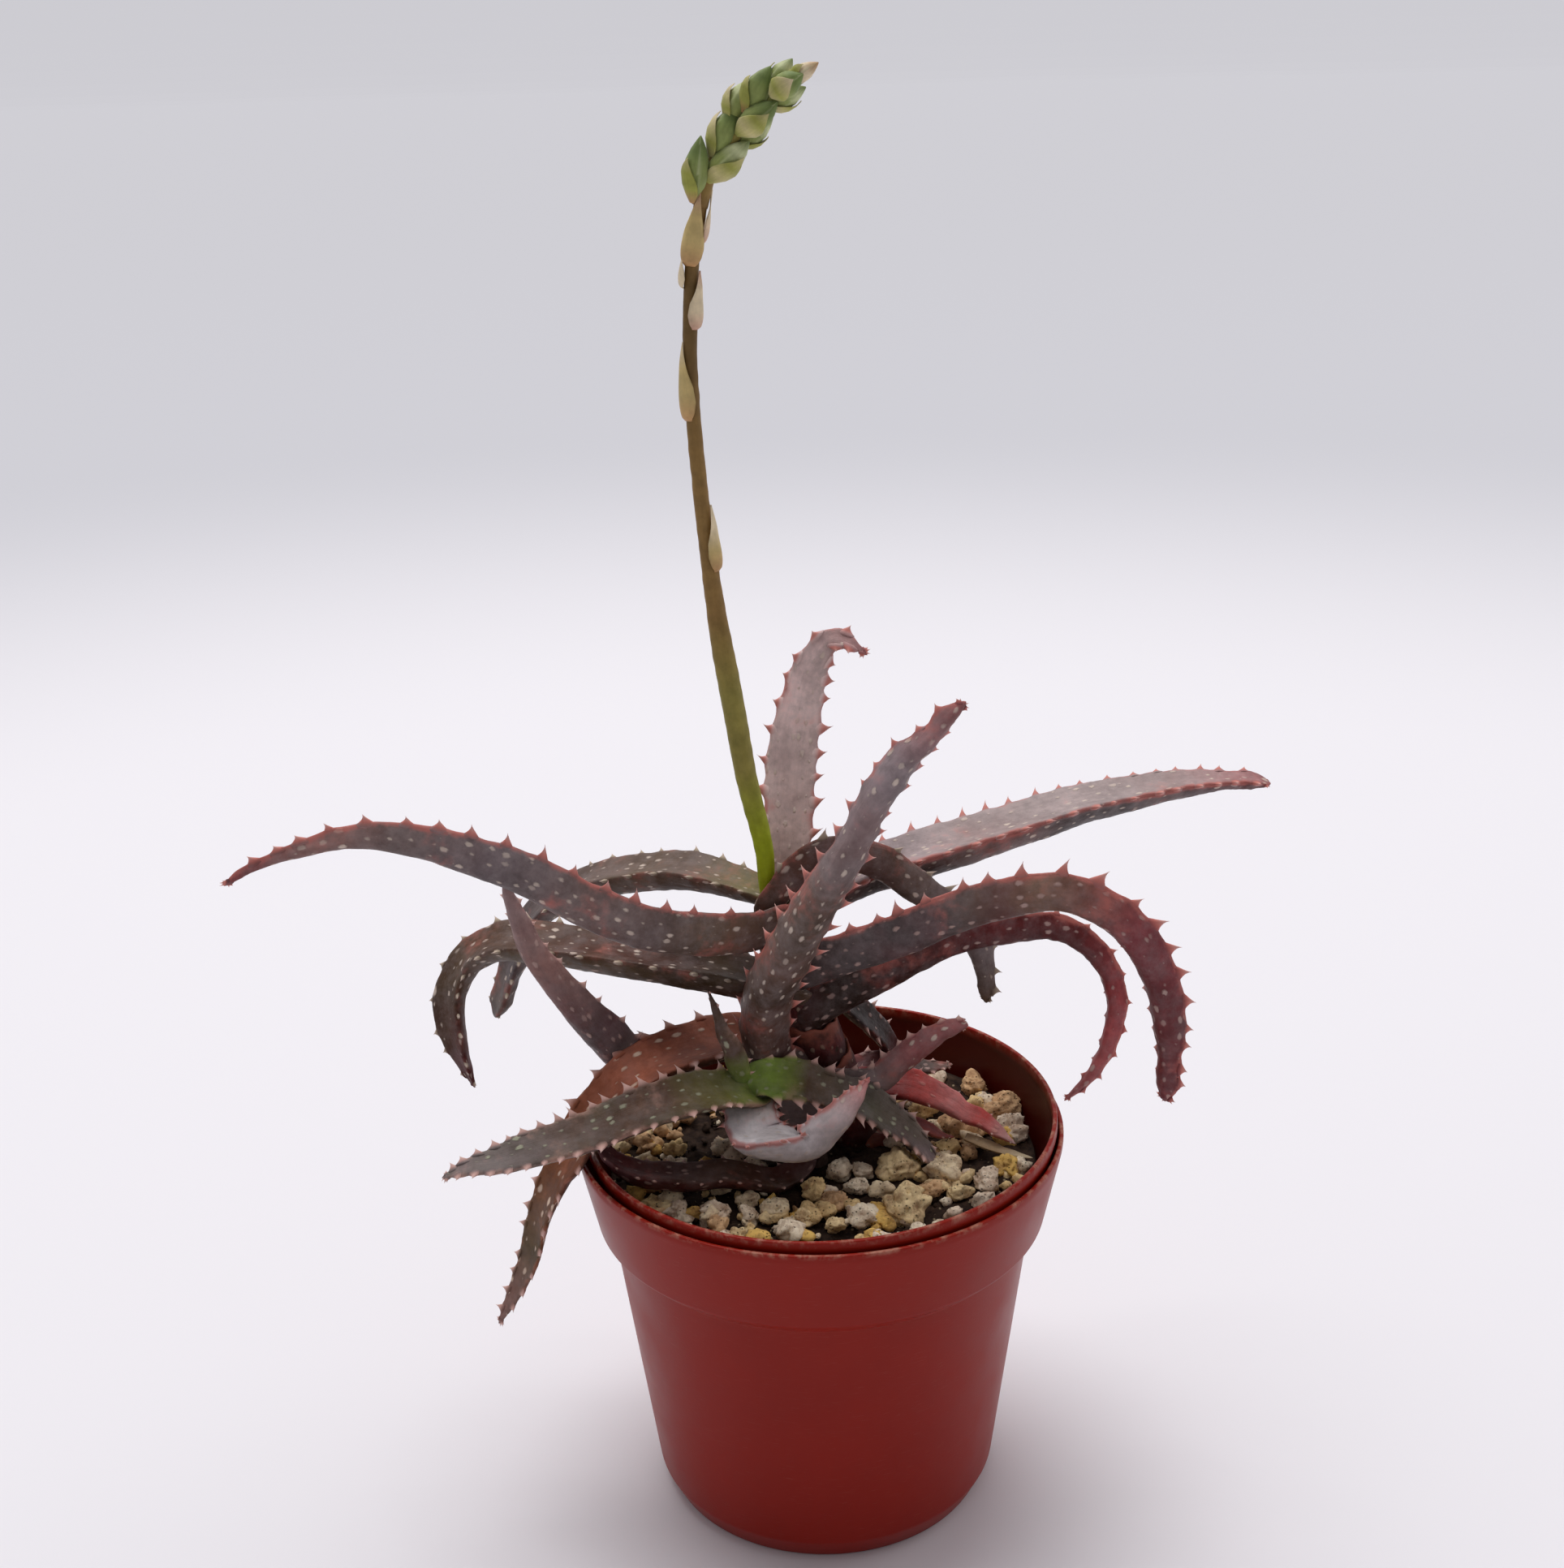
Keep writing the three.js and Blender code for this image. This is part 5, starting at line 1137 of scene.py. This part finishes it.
class AloeStageSettings(bpy.types.PropertyGroup):
    """Light and camera."""

    lens: bpy.props.FloatProperty(
        name="Lens", description="Focal length of the camera in millimetres", default=47.44,
        subtype="DISTANCE_CAMERA")
    sky: bpy.props.FloatProperty(
        name="Room light", description="Strength of the light from all round", default=0.64)
    lamp: bpy.props.FloatProperty(
        name="Lamp", description="Power of the overhead lamp in watts", default=26.0, unit="POWER")


def pot(name, node, profile, places, floor, dark, plastic):
    """A lathed pot whose profile runs up the outside and down the inside. Its tone falls to
    dark within 2 mm below the rim on the inside, as painted shade, its edge value runs from 1
    at the rim to 0 at 0.9 mm below it, and its floor, at that height in mm, has four drain holes."""
    top = profile[:, 1].max() - profile[1:-1, 1]
    inside = np.arange(len(top)) > top.argmin() + 3
    # painted shade: below the rim the inside of the wall takes dark times its colour
    shade = np.where(inside, 1 - (1 - dark) * np.clip(top / 2, 0, 1), 1.0)
    shell = Shell()
    shell.grid(places[1:-1], None, shade[:, None, None], np.clip(1 - top / 0.9, 0, 1)[:, None])
    wall = shell.piece(name, node, plastic, sharp=35)
    drill = Shell()
    angle = np.linspace(0, TAU, 32, endpoint=False)
    for turn in TAU * (np.arange(4) + 0.5) / 4:
        x, y = HOLE_RING * np.cos(turn), HOLE_RING * np.sin(turn)
        ring = np.stack([x + HOLE_RADIUS * np.cos(angle), y + HOLE_RADIUS * np.sin(angle)], 1)
        drill.grid(np.stack([np.column_stack([ring, np.full(32, z)])
                             for z in (floor - DRILL, floor + DRILL)]))
    bore_holes(wall, drill)


def bore_holes(wall, drill):
    """Cuts the drill's closed cylinders out of the pot's wall and keeps the result as its
    mesh."""
    mesh = bpy.data.meshes.new("drill")
    points = np.concatenate(drill.points) * MM
    mesh.from_pydata(points.tolist(), [], [f for part in drill.faces for f in part.tolist()])
    cutter = bpy.data.objects.new("drill", mesh)
    bpy.context.scene.collection.objects.link(cutter)
    cut = wall.modifiers.new("drain_holes", "BOOLEAN")
    cut.operation = "DIFFERENCE"
    cut.solver = "EXACT"
    cut.object = cutter
    bpy.context.view_layer.objects.active = wall
    bpy.ops.object.modifier_apply(modifier=cut.name)
    bpy.data.objects.remove(cutter)
    bpy.data.meshes.remove(mesh)


class ALOE_OT_pots(bpy.types.Operator):
    """Turns both pots and bores their drain holes"""

    bl_idname = "aloe.pots"
    bl_label = "Pots"

    def execute(self, context):
        settings = context.scene.aloe_pots
        plastic = moulded_plastic()
        outer, inner = (rounded(line, settings.lip / MM) for line in (POT_PROFILE, INNER_PROFILE))
        pot("pot_outer_turned", "outer_pot", outer, turned(outer, settings.turns), 0.65, 0.75,
            plastic)
        pot("pot_inner_turned", "inner_pot", inner, set_in_pot(turned(inner, settings.turns)),
            2.8, 0.22, plastic)
        return {"FINISHED"}


def stone(shell, x, y, z, size, k, fine, tint):
    """A craggy chipped stone: in each direction w the skin lies at the farthest of some balls
    round c with radius r, w.c + sqrt((w.c)^2 - c.c + r^2), cut back to the nearest of nine
    flat breaks, d / w.n, then roughened by two sizes of noise, pitted, and stretched by 1.12,
    0.95 and 0.84. k numbers the stone, and fine, from 0 to 2, says how many faces it has."""
    rows, cols = ((7, 9), (12, 15), (26, 32))[fine]
    lat = np.linspace(0.06, np.pi - 0.06, rows)[:, None]
    lon = np.linspace(0, TAU, cols, endpoint=False)[None]
    way = np.stack([np.sin(lat) * np.cos(lon), np.sin(lat) * np.sin(lon),
                    np.broadcast_to(np.cos(lat), (rows, cols))], -1)
    n = np.arange((5, 8, 11)[fine])
    centre = unit(np.stack([draw(n, k + q) - 0.5 for q in (11, 12, 13)], 1))
    centre = centre * (0.38 + 0.26 * draw(n, k + 14))[:, None]
    ball = 0.42 + 0.16 * draw(n, k + 15)
    ball = np.maximum(ball, np.linalg.norm(centre, axis=1) + 0.04)
    dot = way @ centre.T
    reach = (dot + np.sqrt(dot ** 2 - (centre ** 2).sum(1) + ball ** 2)).max(-1)
    n = np.arange(9)
    flat = unit(np.stack([draw(n, k + q) - 0.5 for q in (21, 22, 23)], 1))
    cut = (0.58 + 0.3 * draw(n, k + 24)) / np.maximum(way @ flat.T, 0.05)
    reach = 1.12 * np.minimum(reach, cut.min(-1))
    pit = np.clip(ripple(way * 2, 0.7, k + 9) - 0.25, 0, 1)
    reach = reach * (1 + 0.09 * ripple(way * 2, 1.5, k) + 0.06 * ripple(way * 2, 0.6, k + 5)
                     - 0.3 * pit)
    place = way * reach[..., None] * size / 2 * [1.12, 0.95, 0.84]
    turn = TAU * draw(k, 2)
    c, s = np.cos(turn), np.sin(turn)
    place = place @ np.array([[c, s, 0], [-s, c, 0], [0, 0, 1]])
    place = place + [x, y, z]
    shell.grid(place, None, linear(tint))


def mix_rings():
    """The mix as rings from its foot up its side and in over its top, which is three sizes of
    noise and a low mound round the stems, and lies level where it meets the wall."""
    reach = np.linspace(39.1, 0.4, 90)
    top = np.stack([reach, np.full(90, MIX_TOP)], 1)
    places = set_in_pot(turned(np.concatenate([MIX_SIDE, top]), 150))
    surface = places[len(MIX_SIDE):]
    flat = surface * [1, 1, 0]
    far = np.linalg.norm(flat[..., :2] - [2, 2], axis=-1)
    lift = (0.45 * ripple(flat, 6, 3) + 0.35 * ripple(flat, 2.4, 9) + 0.2 * ripple(flat, 1.2, 21)
            + 1.2 * np.clip(1 - far / 15, 0, 1))
    surface[..., 2] += lift * np.clip((39.3 - np.linalg.norm(flat, axis=-1)) / 1.5, 0, 1)
    return places


class ALOE_OT_medium(bpy.types.Operator):
    """Fills the inner pot with mix and strews the pumice on it"""

    bl_idname = "aloe.medium"
    bl_label = "Growing medium"

    def execute(self, context):
        soil = Shell()
        soil.grid(mix_rings())
        for i in range(CRUMBS):
            reach, angle = 38.5 * np.sqrt(draw(i, 31)), TAU * draw(i, 32)
            stone(soil, reach * np.cos(angle), reach * np.sin(angle), SOIL_TOP + 0.15,
                  0.7 + 1.5 * draw(i, 33), i + 300, 0, TONES["wet_crumb"])
        soil.piece("potting_mix_crumbly", "potting_mix", damp_mix())

        bed = Shell()
        for i, (x, y, size) in enumerate(STONES):
            stone(bed, x, y, SOIL_TOP + 0.3 + 0.2 * size, size, i, 2,
                  STONE_TINTS[int(7 * draw(i, 5))])
        for i in range(16):
            angle, reach = GOLDEN * i, 17.5 + 20 * np.sqrt((i + 0.5) / 16)
            size = 3.4 + draw(i, 3)
            stone(bed, reach * np.cos(angle), reach * np.sin(angle),
                  SOIL_TOP + 0.3 + 0.2 * size, size, i + 50, 2, STONE_TINTS[int(7 * draw(i, 6))])
        # smaller ones between them, more of them near the wall
        for i in range(context.scene.aloe_plant.stones):
            angle, reach = TAU * draw(i, 41), 37.6 - 24 * draw(i, 42) ** 1.5
            x, y = reach * np.cos(angle), reach * np.sin(angle)
            size = 1.4 + 3.4 * draw(i, 43) ** 1.5
            if any(np.hypot(x - a, y - b) < radius for a, b, radius in BARE):
                continue
            stone(bed, x, y, SOIL_TOP + 0.2 + 0.24 * size, size, i + 120, int(size > 2.4),
                  STONE_TINTS[int(7 * draw(i, 44))])
        bed.piece("pumice_stones", "pumice_chips", pumice())
        return {"FINISHED"}


def sheath(shell, stem, start, end, tone, seed):
    """An old leaf base round a stem: a band from start to end along the route that opens by
    0.6 mm, its upper edge higher on one side, with a skin 0.5 mm thick turned back inside."""
    rows, cols = 26, 48
    fold = np.concatenate([np.linspace(0, 1, rows // 2), np.linspace(1, 0.25, rows // 2)])
    inner = np.repeat([0, 0.5], rows // 2)
    angle = np.linspace(0, TAU, cols, endpoint=False)
    rise = 1 + 0.45 * np.cos(angle + TAU * draw(seed, 1)) + 0.08 * np.cos(9 * angle)
    u = (start + (end - start) * fold[:, None] * (0.62 + 0.38 * rise)).ravel()
    centre, along, _ = curve_at(stem["route"], u)
    side = unit(np.cross([0, 1, 0], along))
    up = np.cross(along, side)
    turn = np.tile(angle, rows)[:, None]
    reach = value_at(stem["radii"], u) + 0.15 + np.repeat(0.6 * fold ** 1.5 - inner, cols)
    reach = reach + 0.12 * ripple(centre + side * turn, 3, seed)
    places = centre + (np.cos(turn) * side + np.sin(turn) * up) * reach[:, None]
    shell.grid(places.reshape(rows, cols, 3), plane(fold, np.linspace(0, 3, cols + 1)),
               tones(tone, fold)[:, None], (fold ** 6)[:, None])


class ALOE_OT_stems(bpy.types.Operator):
    """Grows the leaning main stem with its clasping leaf bases, and the offset's stem"""

    bl_idname = "aloe.stems"
    bl_label = "Stems"

    def execute(self, context):
        bark = leaf_skin("aloe_stem_sheath_skin", "#a08a78", "#a8604e", "#4a2a22", 0.12)
        stem = Shell()
        tube(stem, STEM["route"], STEM["radii"], 90, 40, "peat garnet umber umber olive", 0.3, 4)
        for i, start in enumerate((0.18, 0.34, 0.48, 0.62, 0.76)):
            tone = ("peat garnet umber", "peat garnet cocoa")[i % 2]
            sheath(stem, STEM, start, start + 0.17, tone, i)
        # a dead triangular leaf base and a straw-coloured scale at the foot
        blade(stem, [4.5, 3.5, 66.8], [13, 2.5, 68.4], 6.5, [0.1, -0.6, 0.8], "wine rust wine",
              thick=1.0, cup=0.5, bulge=1.0)
        blade(stem, [-1.5, 1.2, 66.6], [4, 0.6, 73.5], 5.5, [-0.2, -1, 0.2], "straw straw paper",
              thick=0.4, cup=0.3, bulge=0.4)
        stem.piece("aloe_main_stem_sheathed", "main_stem", bark)
        pup = Shell()
        tube(pup, PUP_STEM["route"], PUP_STEM["radii"], 60, 36, "umber bark moss", 0.2, 8)
        for i, start in enumerate((0.4, 0.62, 0.8)):
            sheath(pup, PUP_STEM, start, start + 0.2, "umber bark moss", i + 10)
        pup.piece("aloe_pup_stem_sheathed", "pup_stem", bark)
        return {"FINISHED"}


class ALOE_OT_leaves(bpy.types.Operator):
    """Grows every toothed leaf of the plant and its offset, and the dried leaf"""

    bl_idname = "aloe.leaves"
    bl_label = "Leaves"

    def execute(self, context):
        settings = context.scene.aloe_plant
        spot, coral = settings.spot, settings.coral
        # for each slot the skin's name, its spots, margin, clouds and wax
        skins = {slot: leaf_skin(*looks) for slot, looks in {
            "grey_leaf": ("aloe_leaf_skin_grey", spot, coral, "#7a5a55", 0.3),
            "brown_leaf": ("aloe_leaf_skin_brown", spot, "#a5655a", "#5c4a30", 0.2),
            "red_leaf": ("aloe_leaf_skin_wine", "#b79a92", coral, "#6c3338", 0.2),
            "rust_leaf": ("aloe_leaf_skin_rust", "#ecd2bc", "#b37460", "#6c4030", 0.08,
                          (2.7, 5.4)),
            "green_leaf": ("aloe_leaf_skin_green", "#b4b49a", "#b98f80", "#6a6a4c", 0.2),
            "bright_red_leaf": ("aloe_leaf_skin_scarlet", "#c98a80", "#c4645a", "#8a2a2a", 0.25),
            "straw": ("aloe_leaf_dried", "#c8b496", "#a98a68", "#8a7050", 0.1),
        }.items()}
        for seed, (name, spec) in enumerate(LEAVES.items()):
            shell = Shell()
            leaf(shell, spec, seed + 1)
            shell.piece("aloe_" + name + "_skin", name, skins[spec["slot"]])
        return {"FINISHED"}


class ALOE_OT_flower(bpy.types.Operator):
    """Raises the flower stalk with its papery bracts and the nodding head of closed buds"""

    bl_idname = "aloe.flower"
    bl_label = "Flower stalk and buds"

    def execute(self, context):
        stalk = Shell()
        tube(stalk, STALK["route"], STALK["radii"], 260, 32,
             "stalk_green stalk_green stalk_olive stalk_olive stalk_brown stalk_brown stalk_brown "
             "stalk_dark stalk_dark stalk_brown", 0.05, 3, ribs=5, rib=0.015)
        for low, high, wide, facing, lean, tone in BRACTS:
            clasp(stalk, low, high, wide, facing, lean, tone)
        stalk.piece("aloe_stalk_bracted", "flower_stalk",
                    plant_skin("aloe_stalk_skin", 0.5, 9.0, 0.07))
        head = Shell()
        tube(head, RACHIS["route"], RACHIS["radii"], 60, 20, "stalk_brown stalk_olive bud_green",
             0.04, 5)
        core, _, _ = curve_at(RACHIS["route"], np.linspace(0, 1, 60))
        for i, (root, tip, wide) in enumerate(BUDS):
            # the last bud, at the very tip, is dry
            dry = i == len(BUDS) - 1
            bud(head, root, tip, wide, i, "husk paper paper bract_tan" if dry else BUD_TONES[i % 2])
            middle = (np.array(root) + np.array(tip)) / 2
            away = middle - core[np.linalg.norm(core - middle, axis=1).argmin()]
            # each bract faces out from the head, and a little to the front, left and down
            husk(head, root, tip, wide, unit(away) + [-0.5, -0.55, -0.45],
                 0.78 if i % 3 else 0.66, HUSK_TONES[i % 3])
        head.piece("aloe_flower_buds", "flower_head",
                   plant_skin("aloe_bud_skin", 0.55, 26.0, 0.1, sheen=0.1))
        return {"FINISHED"}


def white_paper():
    """Matt white paper under the plant, which turns to an even, softly glowing grey between
    0.45 m and 1.1 m from it."""
    material, shader, add = new_material("matt_white_paper", 0.9)
    place = add("TexCoord")["Object"]
    far = add("VectorMath", {0: place}, operation="LENGTH")["Value"]
    fall = add("MapRange", {
        "Value": far, "From Min": 0.45, "From Max": 1.1}, interpolation_type="SMOOTHSTEP")[0]
    tint = add("Mix", {0: fall, 6: rgba("#eae8ec"), 7: rgba("#30303a")}, data_type="RGBA")[2]
    glow = add("Mix", {0: fall, 6: rgba("#000000"), 7: rgba("#cac9ce")}, data_type="RGBA")[2]
    feed(shader, {"Base Color": tint, "Emission Color": glow, "Emission Strength": 1.0})
    return material


def soft_room(strength):
    """Light from all round, in full from behind and falling to 0.35 of it in front."""
    world = bpy.data.worlds.new("soft_room")
    world.use_nodes = True
    add = partial(add_node, world.node_tree)
    way = add("TexCoord")["Generated"]
    deep = add("SeparateXYZ", {0: way})["Y"]
    deep = add("MapRange", {
        "Value": deep, "From Min": -0.9, "From Max": 0.5, "To Min": 0.35},
        interpolation_type="SMOOTHSTEP")[0]
    white = tuple(linear("#f6f3f7"))
    tint = add("VectorMath", {0: white, "Scale": deep}, operation="SCALE")[0]
    feed(world.node_tree.nodes["Background"], {"Color": tint, "Strength": strength})
    return world


def set_up(name, data, place, right, up, back):
    """Links a lamp or camera at its place in metres, turned to the three directions."""
    thing = bpy.data.objects.new(name, data)
    turn = Matrix(np.stack([right, up, back], 1).tolist()).to_4x4()
    thing.matrix_world = Matrix.Translation(place) @ turn
    bpy.context.scene.collection.objects.link(thing)
    return thing


class ALOE_OT_stage(bpy.types.Operator):
    """Lays the pale floor and sets the soft light and the camera"""

    bl_idname = "aloe.stage"
    bl_label = "Stage"

    def execute(self, context):
        scene = context.scene
        settings = scene.aloe_stage
        # a disc 9 m in radius whose edge curves up by 1 m behind the horizon
        rows, cols = 12, 64
        bend = np.linspace(0, 1, rows)
        rings = turned(np.column_stack([9 + 3 * bend, bend ** 2]), cols).reshape(-1, 3)
        k, m = (v.ravel() for v in np.meshgrid(np.arange(cols), np.arange(rows - 1)))
        here, beside = m * cols + k, m * cols + (k + 1) % cols
        sides = np.stack([here, beside, beside + cols, here + cols], 1)
        mesh = bpy.data.meshes.new("floor")
        mesh.from_pydata(rings.tolist(), [], [list(range(cols))] + sides.tolist())
        mesh.materials.append(white_paper())
        floor = bpy.data.objects.new("floor", mesh)
        scene.collection.objects.link(floor)
        scene.world = soft_room(settings.sky)

        for name, (place, size, share) in LAMPS.items():
            light = bpy.data.lights.new(name, "AREA")
            light.shape = "DISK"
            light.size = size
            light.energy = share * settings.lamp
            back = unit(np.array(place) - LAMP_AIM)
            right = unit(np.cross([0, 1, 0.01], back))
            set_up(name, light, place, right, np.cross(back, right), back)

        yaw, pitch, roll = CAMERA_TURN
        view = np.array([np.sin(yaw) * np.cos(pitch), np.cos(yaw) * np.cos(pitch), -np.sin(pitch)])
        level = np.array([np.cos(yaw), -np.sin(yaw), 0])
        rise = np.cross(level, view)
        right = np.cos(roll) * level + np.sin(roll) * rise
        up = -np.sin(roll) * level + np.cos(roll) * rise
        camera = bpy.data.cameras.new("camera")
        camera.lens = settings.lens
        camera.sensor_width = 36
        scene.camera = set_up("camera", camera, CAMERA_PLACE, right, up, -view)
        scene.view_settings.view_transform = "Standard"
        return {"FINISHED"}


class ALOE_PT_panel(bpy.types.Panel):
    """Lists the settings and the steps that build the potted aloe"""

    bl_idname = "ALOE_PT_panel"
    bl_label = "Potted aloe hybrid"
    bl_space_type = "VIEW_3D"
    bl_region_type = "UI"
    bl_category = "Aloe"

    def draw(self, context):
        for name, kind in SETTINGS.items():
            for key in kind.__annotations__:
                self.layout.prop(getattr(context.scene, name), key)
        for step in STEPS:
            self.layout.operator("aloe." + step)


STEPS = ("pots", "medium", "stems", "leaves", "flower", "stage")
SETTINGS = {"aloe_pots": AloePotSettings, "aloe_plant": AloePlantSettings,
            "aloe_stage": AloeStageSettings}
CLASSES = (
    *SETTINGS.values(), ALOE_OT_pots, ALOE_OT_medium, ALOE_OT_stems, ALOE_OT_leaves,
    ALOE_OT_flower, ALOE_OT_stage, ALOE_PT_panel,
)


def register():
    """Registers the classes and hangs the settings on the scene."""
    for kind in CLASSES:
        bpy.utils.register_class(kind)
    for name, kind in SETTINGS.items():
        setattr(bpy.types.Scene, name, bpy.props.PointerProperty(type=kind))


def unregister():
    """Takes the settings and classes away again."""
    for name in SETTINGS:
        delattr(bpy.types.Scene, name)
    for kind in reversed(CLASSES):
        bpy.utils.unregister_class(kind)


def main():
    """Builds the whole part."""
    register()
    for step in STEPS:
        getattr(bpy.ops.aloe, step)()


if __name__ == "__main__":
    main()
